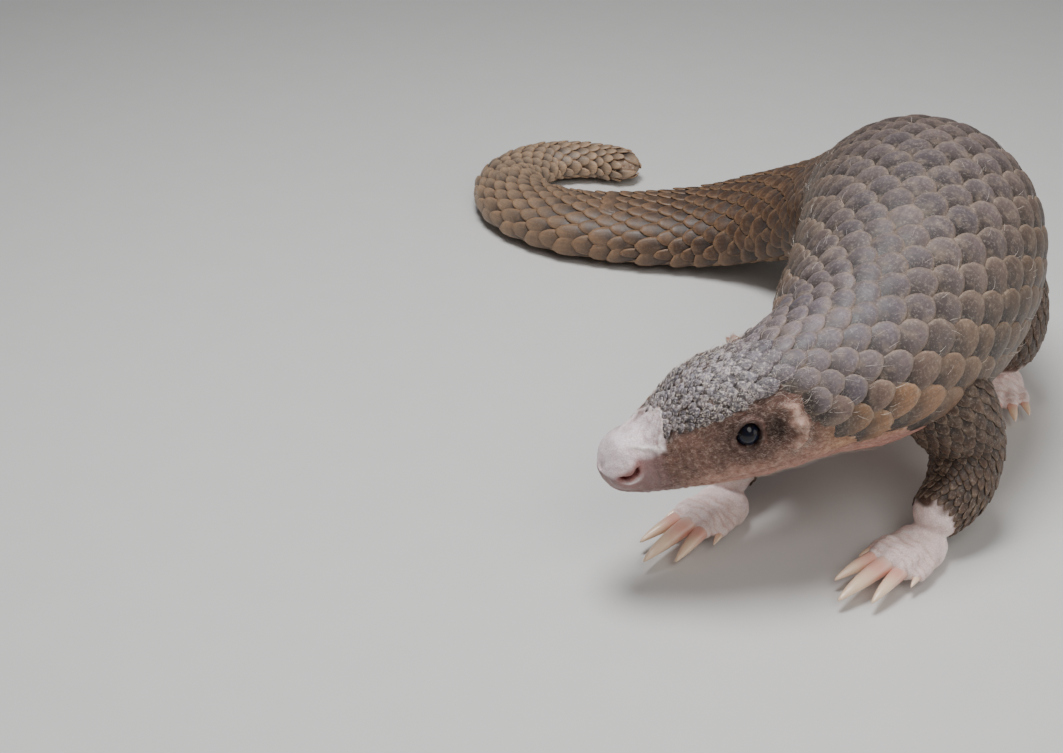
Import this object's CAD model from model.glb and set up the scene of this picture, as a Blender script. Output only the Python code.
"""The looks of a young pangolin: skin, scales, claws, eyes, bristles, floor, light and camera.

Sizes in the tables are millimetres in the body's own layout, with the chest heading along -Y and the
animal's left at +X. Meshes are in metres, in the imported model's frame.
"""

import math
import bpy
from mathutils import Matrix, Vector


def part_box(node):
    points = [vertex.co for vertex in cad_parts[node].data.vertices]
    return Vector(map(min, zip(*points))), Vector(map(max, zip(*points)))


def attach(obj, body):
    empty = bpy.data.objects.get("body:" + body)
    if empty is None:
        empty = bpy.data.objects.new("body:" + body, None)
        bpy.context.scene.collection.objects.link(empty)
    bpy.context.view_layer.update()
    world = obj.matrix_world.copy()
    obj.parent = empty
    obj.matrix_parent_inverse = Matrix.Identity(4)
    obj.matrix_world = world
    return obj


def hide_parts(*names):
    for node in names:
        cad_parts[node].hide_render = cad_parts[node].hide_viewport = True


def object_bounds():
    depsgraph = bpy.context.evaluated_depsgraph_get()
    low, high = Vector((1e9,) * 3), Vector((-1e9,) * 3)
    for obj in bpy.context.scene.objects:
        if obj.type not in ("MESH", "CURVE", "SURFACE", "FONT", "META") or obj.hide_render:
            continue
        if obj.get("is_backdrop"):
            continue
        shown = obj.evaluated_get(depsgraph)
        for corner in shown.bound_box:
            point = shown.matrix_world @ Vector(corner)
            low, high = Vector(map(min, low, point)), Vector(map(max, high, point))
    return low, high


bl_info = {
    "name": "Young pangolin",
    "version": (1, 0, 0),
    "blender": (4, 5, 0),
    "location": "View3D > Sidebar > Pangolin",
    "description": "Builds the skin, scales, claws, eyes and bristles of a young pangolin",
    "category": "Add Mesh",
}

import bpy
import numpy as np
from bpy.props import FloatProperty, FloatVectorProperty, IntProperty, PointerProperty
from bpy.types import Operator, Panel, PropertyGroup
from mathutils import Matrix, Vector
from mathutils.kdtree import KDTree

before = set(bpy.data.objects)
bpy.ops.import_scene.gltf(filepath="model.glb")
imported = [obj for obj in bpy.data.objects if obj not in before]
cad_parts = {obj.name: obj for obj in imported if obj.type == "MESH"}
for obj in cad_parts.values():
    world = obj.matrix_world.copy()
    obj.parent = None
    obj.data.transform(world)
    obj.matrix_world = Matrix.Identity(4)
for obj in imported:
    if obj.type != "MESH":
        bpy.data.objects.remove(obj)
CAD_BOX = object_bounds()

MM = 0.001
BAKE_MAP = "OFBake"
SIDES = (("left", 1), ("right", -1))

# The body, from the nose to the tip of the tail
HEAD_LENGTH = 64.5
HEAD_TURN = math.radians(40)
HEAD_ROLL = 10
SKULL_BACK = np.array([-11.0, -31.0, 54.0])
NOSE_DROP = 13.5
NOSE_ROUND = 8
TAIL_ROUND = 8
LIMB_ROUND = 8
# Distance from the nose, half width, height above the axis, depth below it
HEAD_SECTIONS = (
    (0, 8.2, 8.2, 8.2),
    (8, 9.0, 9.0, 9.0),
    (14, 10.9, 9.9, 10.8),
    (22, 14.4, 14.6, 13.6),
    (31.5, 16.8, 20.4, 15.2),
    (41.5, 18.2, 21.4, 16.6),
    (55.5, 20.4, 21.6, 18.8),
)
# x, y, z, half width, height above, depth below, how square the underside is
TRUNK_STATIONS = (
    (-9, -24, 54, 23.5, 23.5, 21, 1),
    (-2.5, -8, 54.5, 29, 28, 26, 1),
    (0, 14, 56, 34.5, 33, 31, 0.95),
    (-1, 42, 59, 39, 37.5, 35, 0.9),
    (-7, 72, 60.5, 40.5, 38.5, 36, 0.9),
    (-19, 100, 57, 38, 35, 33, 0.95),
    (-36, 124, 47, 33, 28, 26, 0.9),
)
TAIL_STATIONS = (
    (-60, 143, 33, 29, 21.5, 18, 0.75),
    (-90, 150, 20, 26, 17, 14, 0.6),
    (-119, 145, 10.2, 23.5, 14.5, 10.4, 0.55),
    (-146, 134, 7.4, 21, 13, 7.9, 0.5),
    (-174, 127, 6.3, 18.5, 12, 6.8, 0.5),
    (-202, 133, 5.8, 16, 10.8, 6.3, 0.5),
    (-220, 154, 5.3, 13, 9.5, 5.8, 0.5),
    (-217, 180, 4.8, 11, 8.5, 5.3, 0.5),
    (-196, 195, 4.5, 9, 7.5, 5.0, 0.5),
    (-176, 197, 4.4, 7.4, 6.4, 4.9, 0.5),
)

# Places on the head: distance from the nose, and angle from the crown
EYE_ALONG = 41.0
EYE_ANGLE = math.radians(66)
EYE_RADIUS = 4.0
EYE_SUNK = 3.3
LID_HALF_LENGTH = 3.75
LID_HALF_HEIGHT = 3.35
LID_TILT = 0.12
CHEEK_RADIUS = 18.5
NOSTRIL_ALONG = 6.4
NOSTRIL_ANGLE = math.radians(77)
NOSTRIL_BEND = 0.12
MUZZLE_RADIUS = 9.0
EAR_ALONG = 53.2
EAR_HOLLOW_ALONG = 48.8
EAR_HOLLOW_HALF = (3.3, 5.4)
EAR_RADIUS = 20.0
HEAD_RADIUS = 19.0
EAR_FROM = math.radians(49)
EAR_TO = math.radians(88)
EAR_ANGLE = (EAR_FROM + EAR_TO) / 2
MOUTH_BACK = 18.0
MOUTH_FRONT = 3.4
MOUTH_BACK_ANGLE = math.radians(122)
CROWN_START = 19.0

# Feet: half sizes of the sole pad, foot length, half sizes of a toe, height of the bare skin
FORE = {"pad": (10, 9, 6), "length": 30, "toe": (7, 3.4, 3.6), "bare_to": 17.5}
HIND = {"pad": (13, 10.5, 7), "length": 31, "toe": (6, 3.2, 3.4), "bare_to": 14}
# Claws across a foot from its outer side: place across, start, length, width, depth
FORE_CLAWS = (
    (0.95, -3.5, 6.5, 2.4, 2.4),
    (0.55, 1, 17, 4.6, 4.8),
    (0.02, 2.6, 22, 5.6, 5.8),
    (-0.5, 1, 17, 4.6, 4.8),
    (-0.92, -3.5, 6.5, 2.6, 2.6),
)
HIND_CLAWS = (
    (0.95, -2.5, 7, 3, 3),
    (0.52, 1, 8.5, 3.6, 3.6),
    (0.02, 2, 9.5, 3.8, 3.8),
    (-0.5, 1, 8.5, 3.6, 3.6),
    (-0.92, -2.5, 6, 2.8, 2.8),
)
CLAW_NAMES = ("5", "4", "3", "2", "1")
LEGS = (
    {
        "name": "foreleg_left", "foot": "forepaw_left", "sign": 1, "shape": FORE, "claws": FORE_CLAWS,
        "at": (29, -18), "heading": (-0.34, -0.94),
        "stations": (
            (14, 6, 50, 15, 15, 15, 1),
            (27, 8, 38, 14, 14, 13, 1),
            (33, 9, 26, 11.5, 12, 11.5, 1),
            (34, 1, 15.5, 10, 10, 10, 1),
            (31, -9, 10.5, 8.6, 8, 8, 1),
            (29, -16, 8, 7.6, 6.6, 6.6, 1),
        ),
    },
    {
        "name": "foreleg_right", "foot": "forepaw_right", "sign": -1, "shape": FORE, "claws": FORE_CLAWS,
        "at": (-33, -29), "heading": (-0.24, -0.97),
        "stations": (
            (-14, 2, 50, 15, 15, 15, 1),
            (-27, 2, 38, 14, 14, 13, 1),
            (-34, 0, 26, 11.5, 12, 11.5, 1),
            (-35, -9, 15.5, 10, 10, 10, 1),
            (-34, -20, 10.5, 8.6, 8, 8, 1),
            (-33, -27, 8, 7.6, 6.6, 6.6, 1),
        ),
    },
    {
        "name": "hindleg_left", "foot": "hindfoot_left", "sign": 1, "shape": HIND, "claws": HIND_CLAWS,
        "at": (22, 92), "heading": (0.3, -0.95),
        "stations": (
            (4, 88, 52, 20, 20, 20, 1),
            (14, 90, 42, 20, 19, 18, 1),
            (20, 90, 30, 16.5, 16.5, 15, 1),
            (21, 94, 18, 12.5, 13, 12, 1),
            (20, 96, 8, 11, 11, 10, 1),
        ),
    },
    {
        "name": "hindleg_right", "foot": "hindfoot_right", "sign": -1, "shape": HIND, "claws": HIND_CLAWS,
        "at": (-36, 54), "heading": (0.3, -0.95),
        "stations": (
            (-21, 68, 52, 20, 20, 20, 1),
            (-31, 64, 42, 20, 19, 18, 1),
            (-36, 60, 30, 16.5, 16.5, 15, 1),
            (-37, 58, 18, 12.5, 13, 12, 1),
            (-37, 58, 8, 11, 11, 10, 1),
        ),
    },
)


# Small mathematics

def smooth(value, low, high):
    """0 below low, 1 above high, and an eased step between."""
    t = np.clip((np.asarray(value, float) - low) / (high - low), 0, 1)
    return t * t * (3 - 2 * t)


def mix(a, b, share):
    return a + (b - a) * share


def unit(vectors):
    return vectors / np.maximum(np.linalg.norm(vectors, axis=-1, keepdims=True), 1e-12)


def peak(value, width, power=2):
    """1 where value is 0, falling to 0 on both sides of it over about the width."""
    return np.exp(-((value / width) ** power))


def between(value, rise, rise_end, fall, fall_end):
    """1 from rise_end to fall, 0 outside rise and fall_end, and eased steps between."""
    return smooth(value, rise, rise_end) * (1 - smooth(value, fall, fall_end))


def ripple(p, scale, seed):
    """Soft noise from a few crossed waves, between about -1 and 1, for points in millimetres."""
    draw = np.random.default_rng(seed)
    total = np.zeros(p.shape[:-1])
    for _ in range(7):
        way = unit(draw.normal(size=3)) * draw.uniform(0.6, 1.5) / scale
        total += np.sin(p @ way * math.tau + draw.uniform(0, math.tau))
    return total / 3.2


class Body:
    """A tapering body along a run of stations, with angles round it measured from its top side."""

    def __init__(self, stations, top_side, round_start, round_end):
        self.stations = np.array(stations, float)
        self.top_side = np.array(top_side, float)
        self.round_start = round_start
        self.round_end = round_end
        steps = np.linalg.norm(np.diff(self.stations[:, :3], axis=0), axis=1)
        self.knots = np.concatenate([[0], np.cumsum(steps)])
        self.slopes = np.diff(self.stations, axis=0) / steps[:, None]
        self.length = self.knots[-1]
        before, after = steps[:-1, None], steps[1:, None]
        inner = (self.slopes[:-1] * after + self.slopes[1:] * before) / (before + after)
        self.tangents = np.vstack([self.slopes[:1], inner, self.slopes[-1:]])

    def values(self, s):
        held = np.clip(s, 0, self.length)
        i = np.clip(np.searchsorted(self.knots, held, side="left") - 1, 0, len(self.knots) - 2)
        h = (self.knots[i + 1] - self.knots[i])[..., None]
        t = ((held - self.knots[i])[..., None]) / h
        eased = (
            self.stations[i] * (1 + 2 * t) * (1 - t) ** 2
            + self.stations[i + 1] * t * t * (3 - 2 * t)
            + h * self.tangents[i] * t * (1 - t) ** 2
            - h * self.tangents[i + 1] * t * t * (1 - t)
        )
        end_slope = np.where((s < 0)[..., None], self.slopes[0], self.slopes[-1])
        eased[..., :3] += (s - held)[..., None] * end_slope[..., :3]
        return eased

    def closing(self, s):
        def rounded(d, r):
            return np.sqrt(np.clip(1 - np.clip(1 - d / r, 0, None) ** 2, 0, 1))

        return rounded(s, self.round_start) * rounded(self.length - s, self.round_end)

    def frame(self, s):
        """The axis point, the backward, left and up directions, and the section's sizes."""
        v = self.values(s)
        back = unit(self.values(s + 0.5)[..., :3] - self.values(s - 0.5)[..., :3])
        left = unit(np.cross(back, self.top_side))
        up = np.cross(left, back)
        if v.shape[-1] > 7:
            roll = np.radians(v[..., 7])[..., None]
            rolled = left * np.cos(roll) + np.cross(back, left) * np.sin(roll)
            up = up * np.cos(roll) + np.cross(back, up) * np.sin(roll)
            left = rolled
        shut = self.closing(s)
        return v[..., :3], back, left, up, v[..., 3] * shut, v[..., 4] * shut, v[..., 5] * shut, v[..., 6]

    def bare(self, s, angle):
        centre, _, left, up, wide, high, deep, square = self.frame(s)
        across, upward = np.sin(angle), np.cos(angle)
        power = np.where(upward >= 0, 1.0, square)
        x = wide * np.sign(across) * np.abs(across) ** power
        z = np.where(upward >= 0, high * upward, -deep * np.abs(upward) ** power)
        return centre + left * x[..., None] + up * z[..., None]

    def normal(self, s, angle):
        along = self.bare(s + 0.8, angle) - self.bare(s - 0.8, angle)
        around = self.bare(s, angle + 0.06) - self.bare(s, angle - 0.06)
        return unit(np.cross(around, along))

    def at(self, s, angle, out=0.0):
        s, angle, out = np.broadcast_arrays(np.asarray(s, float), np.asarray(angle, float), out)
        return self.bare(s, angle) + self.normal(s, angle) * out[..., None]

    def back_way(self, s):
        return self.frame(s)[1]

    def stretch(self, s, angle):
        """Millimetres of surface to one radian round the body."""
        return np.linalg.norm(self.bare(s, angle + 0.03) - self.bare(s, angle - 0.03), axis=-1) / 0.06

    def girth_table(self, s):
        """Angles from the middle of the back to the middle of the belly, and the girth up to each."""
        angle = np.linspace(0, math.pi, 61)
        p = self.bare(np.full_like(angle, s), angle)
        lengths = np.concatenate([[0], np.cumsum(np.linalg.norm(np.diff(p, axis=0), axis=1))])
        return angle, lengths


def body_spine():
    reach = HEAD_LENGTH
    nose_way = -np.array([math.sin(HEAD_TURN) * reach, math.cos(HEAD_TURN) * reach, NOSE_DROP])
    nose_way /= np.linalg.norm(nose_way)
    head = [
        (*(SKULL_BACK + nose_way * (HEAD_LENGTH - s)), wide, up, down, 1, HEAD_ROLL)
        for s, wide, up, down in HEAD_SECTIONS
    ]
    trunk = [(*row, HEAD_ROLL * 0.6 if i == 0 else 0) for i, row in enumerate(TRUNK_STATIONS)]
    tail = [(*row, 0) for row in TAIL_STATIONS]
    return Body(head + trunk + tail, (0, 0, 1), NOSE_ROUND, TAIL_ROUND)


def heading_of(leg):
    x, y = leg["heading"]
    return np.array([x, y, 0.0]) / math.hypot(x, y)


def leg_body(leg):
    ahead = np.array([*leg["heading"], 0.0])
    outer = np.cross(ahead, (0, 0, 1)) * -leg["sign"]
    return Body(leg["stations"], unit(outer + ahead * 0.5), LIMB_ROUND, LIMB_ROUND)


SPINE = body_spine()


def frame_shift():
    """From the body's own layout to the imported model, found from the left eye's box."""
    low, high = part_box("eye_left")
    centre = (np.array(low) + np.array(high)) / 2
    return centre - SPINE.at(EYE_ALONG, EYE_ANGLE, -EYE_SUNK) * MM


SHIFT = frame_shift()
FLOOR_CLEAR = 0.0003


def placed(points):
    """Layout millimetres to metres in the frame, with nothing under the floor."""
    p = np.asarray(points) * MM + SHIFT
    p[..., 2] = np.maximum(p[..., 2], FLOOR_CLEAR)
    return p


# The face

# How far each form stands out, its place and width along the head, its place and spread round it
FACE_FORMS = {
    "nose pad": (0.4, 5.5, 4.5, 70, 60),
    "fold behind the pad": (-0.5, 13.5, 1.8, 85, 45),
    "brow": (1.0, 38, 8, 45, 14),
    "hollow before the eye": (-0.9, 36, 5, 72, 14),
    "cheek": (0.9, 45, 9, 112, 26),
    "chin": (2.6, 13, 7, 180, 44),
}
NOSE_TOP_FORMS = {
    "sloping front": (-1.2, 0.5, 4.2, 8, 58),
    "raised back": (0.5, 11.5, 3.6, 0, 50),
}


def bump(s, side, out, at, width, where, spread):
    around = (side - math.radians(where)) / math.radians(spread)
    return out * np.exp(-(((s - at) / width) ** 2) - (around**2))


def face_form(s, angle):
    """The main forms of the face, as the solids have them."""
    return sum(bump(s, np.abs(angle), *row) for row in FACE_FORMS.values())


def eye_offsets(s, angle):
    """Distances from the eye along the head and down the cheek, and how many lid openings away."""
    along = s - EYE_ALONG
    down = (np.abs(angle) - EYE_ANGLE) * CHEEK_RADIUS
    tilted = down + LID_TILT * along
    return along, tilted, np.hypot(along / LID_HALF_LENGTH, tilted / LID_HALF_HEIGHT)


# Wrinkles round the eye: distance from its middle in lid openings, and depth
LID_WRINKLES = ((1.72, 0.42), (2.12, 0.34), (2.55, 0.22), (3.05, 0.14))


def eyelids(s, angle):
    along, down, ring = eye_offsets(s, angle)
    socket = -4.2 * (1 - smooth(ring, 0.86, 1.02))
    rim = -0.15 * peak(ring - 1.05, 0.14)
    lid = 0.75 * peak(ring - 1.34, 0.24) * (1 + 0.45 * smooth(-down, -1, 3))
    folds = 0.0
    for i, (place, depth) in enumerate(LID_WRINKLES):
        wander = place + 0.08 * np.sin(4 * np.arctan2(down, along) + 1.7 * i)
        folds = folds - depth * peak(ring - wander, 0.10)
    under_brow = 1 - 0.5 * smooth(np.abs(along), 5, 9)
    corner = -0.5 * peak(down, 0.5) * peak(np.abs(along) - 4.6, 1.2)
    return socket + rim + lid + folds * under_brow + corner


def nostril_line(s, angle):
    """How far below the nostril's curved middle line a place lies, and how far along it."""
    along = s - NOSTRIL_ALONG
    down = (np.abs(angle) - NOSTRIL_ANGLE) * MUZZLE_RADIUS
    rise = np.clip(along + 1.6, 0, 6)
    slope = -2 * NOSTRIL_BEND * rise
    return (down - 0.9 + NOSTRIL_BEND * rise * rise) / np.sqrt(1 + slope * slope), along


def nostrils(s, angle):
    """A crescent on each side with a pit at both ends, a moist sill below and a wing above."""
    away, along = nostril_line(s, angle)
    front_pit = peak(along + 1.5, 1.4)
    rear_pit = peak(along - 2.1, 0.9)
    wide = 0.62 + 0.38 * front_pit + 0.22 * rear_pit
    inside = peak(away, wide, 4) * peak(along, 3.0, 6)
    sill = peak(away - 1.7, 0.6) * peak(along - 0.8, 2.6, 4)
    wing = peak(away + 2.0, 1.1) * peak(along, 3.8, 4)
    return -inside * (1.2 + 1.5 * front_pit + 1.2 * rear_pit) + 0.42 * sill + 0.4 * wing


def crown_edge(side):
    """Distance from the nose where the crown's scales begin, for degrees from the middle of the crown."""
    return 22.4 - 0.12 * side


def nose_creases(s, angle):
    """Two raised pale wrinkles behind the nose pad, meeting on the side of the snout."""
    side = np.degrees(np.abs(angle))
    wander = 0.5 * np.sin(s * 1.9) + 0.35 * np.sin(side * 0.23)
    slanting = (side - 27 - (s - 10) * 2.6) * 0.2 + 0.4 * wander
    border = s - crown_edge(side) + 0.9 + 0.4 * wander
    first = peak(slanting, 0.95) * between(s, 7.5, 10.5, 16.5, 18.5)
    second = peak(border, 0.6) * (1 - smooth(side, 44, 54))
    return np.maximum(first, second * 0.9)


def mouth_distance(s, angle):
    """How far a place on the muzzle is above the mouth line, and how far along the line it lies."""
    share = np.clip((math.pi - np.abs(angle)) / (math.pi - MOUTH_BACK_ANGLE), 0, 1.25)
    line = mix(MOUTH_FRONT, MOUTH_BACK, share * share)
    return line - s, share


def mouth(s, angle):
    away, share = mouth_distance(s, angle)
    reach = 1 - smooth(share, 0.95, 1.12)
    below = smooth(np.abs(angle), math.radians(100), math.radians(122))
    across = np.where(share > 0.4, away * 0.55, away)
    slit = -1.0 * peak(across, 0.34)
    lip = 0.4 * peak(across - 1.2, 0.8) + 0.3 * peak(across + 1.1, 0.8)
    return (slit + lip) * reach * below


def ear_hollow(s, angle):
    down = (np.abs(angle) - EAR_ANGLE) * EAR_RADIUS
    return np.hypot((s - EAR_HOLLOW_ALONG) / EAR_HOLLOW_HALF[0], down / EAR_HOLLOW_HALF[1])


def ear_ridge(s, angle):
    """The lumpy upright ridge of the ear, from 0 beside it to 1 on its top."""
    share = np.clip((np.abs(angle) - EAR_FROM) / (EAR_TO - EAR_FROM), -0.4, 1.4)
    held = np.clip(share, 0, 1)
    middle = EAR_ALONG - 0.6 + 1.9 * np.sin(held * math.pi) ** 0.8 + 0.45 * np.sin(share * 11 + 1)
    half = 1.4 + 0.3 * np.sin(share * 13 + 2.2) + 0.2 * (1 - held)
    end = np.clip(1 - (np.abs(share - 0.5) / 0.56) ** 2.6, 0, 1) ** 0.7
    lumps = 0.84 + 0.16 * np.sin(share * 18 + 0.2) + 0.06 * np.sin(share * 37)
    return np.exp(-(np.abs((s - middle) / half) ** 2.3)) * end * lumps


def ears(s, angle):
    pit = -2.6 * (1 - smooth(ear_hollow(s, angle), 0.25, 1.1))
    behind = -0.7 * peak(s - EAR_ALONG - 4.0, 1.0)
    level = (1 - smooth(np.abs(np.abs(angle) - EAR_ANGLE), 0.3, 0.42)) * behind
    return pit + level + 3.3 * ear_ridge(s, angle)


def throat_folds(s, angle):
    """Loose skin in long folds from the jaw down the side of the throat."""
    side = np.abs(angle)
    zone = between(s, 22, 36, 84, 108) * smooth(side, math.radians(88), math.radians(112))
    place = np.degrees(side) / 11.5 + s / 26
    wave = np.sin(place * math.tau / 1.35 + 0.5 * np.sin(s / 9))
    crease = -np.clip(wave, 0, 1) ** 3
    fine = 0.25 * np.sin(place * math.tau * 1.9 + 0.7 * np.sin(s / 6))
    return zone * (1.15 * crease + 0.3 * fine + 0.3)


def skin_relief(s, angle):
    """All the skin's forms on top of the plain body."""
    p = SPINE.bare(s, angle)
    head = 1 - smooth(s, 61, 73)
    soft = 0.16 * ripple(p, 5.5, 3) + 0.08 * ripple(p, 2.4, 5)
    bare_face = smooth(np.abs(angle), math.radians(35), math.radians(60))
    wave = np.sin(s * 2.6 + 1.4 * ripple(p, 7, 8))
    muzzle_wrinkle = 0.16 * wave * between(s, 10, 13, 16, 36)
    form = face_form(s, angle) * head
    slope = sum(bump(s, np.abs(angle), *row) for row in NOSE_TOP_FORMS.values())
    nose = nostrils(s, angle) + 0.5 * nose_creases(s, angle) + slope
    detail = (eyelids(s, angle) + nose + mouth(s, angle) + ears(s, angle)) * head
    grain = soft * (0.35 + 0.65 * bare_face)
    return form + detail + throat_folds(s, angle) + grain + muzzle_wrinkle * bare_face


# Colours over the body

def blend_colour(base, colour, share):
    return base + (np.asarray(colour) - base) * np.asarray(share)[..., None]


def trunk_tint(s, angle, side, cloud, c):
    """Face, cheek, throat and belly, and how much of throat and belly each place is."""
    tint = np.broadcast_to(np.array(c.under_scale), (*s.shape, 3)).copy()
    tint = blend_colour(tint, c.face, (1 - smooth(s, 64, 78)) * smooth(side, 36, 46))
    lower_face = smooth(side + 4 * cloud, 82, 104) * between(s, 18, 30, 86, 112)
    tint = blend_colour(tint, c.cheek, lower_face)
    jaw_edge = between(s, 56, 66, 86, 106) * between(side, 70, 84, 104, 118)
    tint = blend_colour(tint, c.neck_side, jaw_edge * 0.8)
    throat = smooth(side, 104, 124) * smooth(s, 24, 40)
    tint = blend_colour(tint, c.throat, throat)
    belly = smooth(side, 112, 132) * between(s, 105, 145, 230, 256)
    tint = blend_colour(tint, c.belly, belly)
    creases = np.clip(-throat_folds(s, angle), 0, 1)
    return blend_colour(tint, c.crease, np.clip(creases * 0.75, 0, 0.8)), throat, belly


def eye_tint(tint, s, angle, side, cloud, c):
    """Dark wrinkled skin round the eye and under the brow, and the wet line of the lids."""
    _, down, ring = eye_offsets(s, angle)
    around_eye = (1 - smooth(ring + 0.35 * smooth(down, 0, 5), 1.9, 3.8)) * 0.95
    tint = blend_colour(tint, c.eye_surround, around_eye)
    brow_shade = between(s, 26, 34, 50, 54) * between(side, 30, 36, 50, 62)
    tint = blend_colour(tint, c.eye_surround, brow_shade * 0.85)
    upper_lid = peak(ring - 1.5, 0.5) * smooth(-down, -0.5, 1.5)
    tint = blend_colour(tint, np.array(c.eye_surround) * 0.55, upper_lid * 0.9)
    lid_line = peak(ring - 1.05, 0.2)
    tint = blend_colour(tint, c.lid_line, lid_line * 0.9)
    lid_light = peak(ring - 1.62, 0.10) * smooth(down, 0, 2) * smooth(cloud, -0.4, 0.6)
    return blend_colour(tint, c.cheek, lid_light * 0.6), lid_line


# Where the nose's darker flank begins, in degrees from the crown, at distances from the nose
FLANK_ALONG = (3, 6, 10, 14, 18)
FLANK_TOP = (74, 54, 36, 36, 44)


def nose_tint(tint, s, angle, side, cloud, c):
    """The pale pad and bridge with their creases, and the darker flanks; also the share of the pad."""
    pad = (1 - smooth(s + 1.2 * cloud, 13.0, 16.5)) * (1 - 0.4 * smooth(side, 108, 132))
    tint = blend_colour(tint, c.nose, pad)
    behind_pad = s - crown_edge(side)
    bridge = (1 - smooth(behind_pad, 0, 1.5)) * smooth(s, 10, 13) * (1 - smooth(side, 44, 56))
    tint = blend_colour(tint, c.nose, bridge * 0.85)
    flank_top = np.interp(s, FLANK_ALONG, FLANK_TOP)
    flank = smooth(side + 5 * cloud, flank_top, flank_top + 20) * (1 - smooth(s + cloud, 15, 18.5))
    tint = blend_colour(tint, c.nose_side, flank * 0.95)
    triangle = smooth(s, 11, 14) * smooth(side, 14, 26) * bridge * (1 - flank)
    tint = blend_colour(tint, c.nose_side, triangle * 0.35)
    return blend_colour(tint, c.nose_crease, np.clip(nose_creases(s, angle) * 1.2, 0, 1)), pad


def nostril_tint(tint, s, angle, c):
    """Reddened skin round the nostril, its pale sill and its dark inside; also how wet they are."""
    away, along = nostril_line(s, angle)
    near_nostril = peak(away, 2.6) * peak(along, 3.8, 4)
    tint = blend_colour(tint, c.nostril_edge, near_nostril * 0.75)
    sill = peak(away - 1.7, 0.6) * peak(along - 0.8, 2.6, 4)
    tint = blend_colour(tint, c.nose_crease, sill * 0.9)
    nostril = np.clip((-nostrils(s, angle) - 0.35) / 1.1, 0, 1)
    return blend_colour(tint, c.nostril, np.clip(nostril * 1.5, 0, 1)), nostril + sill


def mouth_tint(tint, s, angle, side, c):
    """The dark mouth line between its paler lips; also the share of the line."""
    slit = np.clip(-mouth(s, angle) - 0.25, 0, 0.6) / 0.6
    tint = blend_colour(tint, c.nostril, np.clip(slit, 0, 1) * 0.85)
    lip_away, lip_share = mouth_distance(s, angle)
    lips = peak(lip_away, 2.2) * (1 - smooth(lip_share, 1, 1.2)) * smooth(side, 104, 124)
    return blend_colour(tint, c.nose, lips * 0.35 * (1 - np.clip(slit, 0, 1))), slit


def skin_tint(s, angle, c):
    """The skin's colour for each place of the body, how wet it is, and how mottled."""
    side = np.degrees(np.abs(angle))
    cloud = ripple(SPINE.bare(s, angle), 9, 21)
    tint, throat, belly = trunk_tint(s, angle, side, cloud, c)
    tint, lid_line = eye_tint(tint, s, angle, side, cloud, c)
    tint, pad = nose_tint(tint, s, angle, side, cloud, c)
    tint, nostril_wet = nostril_tint(tint, s, angle, c)
    tint, slit = mouth_tint(tint, s, angle, side, c)
    hollow = 1 - smooth(ear_hollow(s, angle), 0.55, 1.35)
    tint = blend_colour(tint, c.ear_hollow, hollow * 0.92)
    tint = blend_colour(tint, c.ear, np.clip(ear_ridge(s, angle) * 2.4 - 0.3, 0, 1))
    tip = smooth(s, SPINE.length - 60, SPINE.length - 20)
    tint = blend_colour(tint, np.array(c.tail_tip_scale) * 0.7, tip)
    wet = np.clip(pad * 0.75 + nostril_wet + lid_line * 0.9 + slit * 0.6, 0, 1)
    mottle = np.clip(1 - 0.7 * pad - 0.6 * throat - 0.5 * belly, 0.2, 1)
    return np.clip(tint * (1 + 0.10 * cloud[..., None]), 0, 1), wet, mottle


# Meshes

def new_mesh(name, verts, faces):
    mesh = bpy.data.meshes.new(name)
    mesh.from_pydata(verts, [], faces)
    mesh.polygons.foreach_set("use_smooth", np.ones(len(mesh.polygons), bool))
    mesh.update()
    return mesh


def new_piece(name, mesh, material):
    piece = bpy.data.objects.new(name, mesh)
    bpy.context.collection.objects.link(piece)
    if material:
        mesh.materials.append(material)
    return piece


def carried(piece):
    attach(piece, "root")
    return piece


def stands_for(piece, nodes):
    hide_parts(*nodes)
    return carried(piece)


def put_value(mesh, name, values):
    layer = mesh.attributes.new(name, "FLOAT", "POINT")
    layer.data.foreach_set("value", np.asarray(values, np.float32).ravel())


def put_colour(mesh, name, colours):
    layer = mesh.attributes.new(name, "FLOAT_COLOR", "POINT")
    rgba = np.ones((len(mesh.vertices), 4), np.float32)
    rgba[:, :3] = np.asarray(colours).reshape(-1, 3)
    layer.data.foreach_set("color", rgba.ravel())


def put_map(mesh, name, point_uv):
    """A UV map from one place for each vertex."""
    layer = mesh.uv_layers.new(name=name)
    corners = np.empty(len(mesh.loops), np.int32)
    mesh.loops.foreach_get("vertex_index", corners)
    layer.data.foreach_set("uv", np.asarray(point_uv, np.float32).reshape(-1, 2)[corners].ravel())


def ring_faces(rows, around, flip=False):
    """Quads of a closed tube of rings, and a fan at each end from a vertex after the last ring."""
    i, j = np.meshgrid(np.arange(rows - 1), np.arange(around), indexing="ij")
    k = (j + 1) % around
    quads = np.stack([i * around + j, i * around + k, (i + 1) * around + k, (i + 1) * around + j], axis=-1)
    quads = quads.reshape(-1, 4)
    first, last = rows * around, rows * around + 1
    j = np.arange(around)
    k = (j + 1) % around
    end = (rows - 1) * around
    caps = [[first, b, a] for a, b in zip(j, k)] + [[last, end + a, end + b] for a, b in zip(j, k)]
    faces = quads.tolist() + [[int(v) for v in cap] for cap in caps]
    return [face[::-1] for face in faces] if flip else faces


def tube_mesh(name, rings, flip=False):
    """A closed mesh through rings of points, given as rows by columns by 3."""
    rows, around = rings.shape[:2]
    verts = np.vstack([rings.reshape(-1, 3), rings[0].mean(axis=0), rings[-1].mean(axis=0)])
    return new_mesh(name, verts, ring_faces(rows, around, flip))


def apply_modifiers(piece):
    evaluated = piece.evaluated_get(bpy.context.evaluated_depsgraph_get())
    mesh = bpy.data.meshes.new_from_object(evaluated)
    piece.modifiers.clear()
    old = piece.data
    piece.data = mesh
    bpy.data.meshes.remove(old)
    return piece


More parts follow.
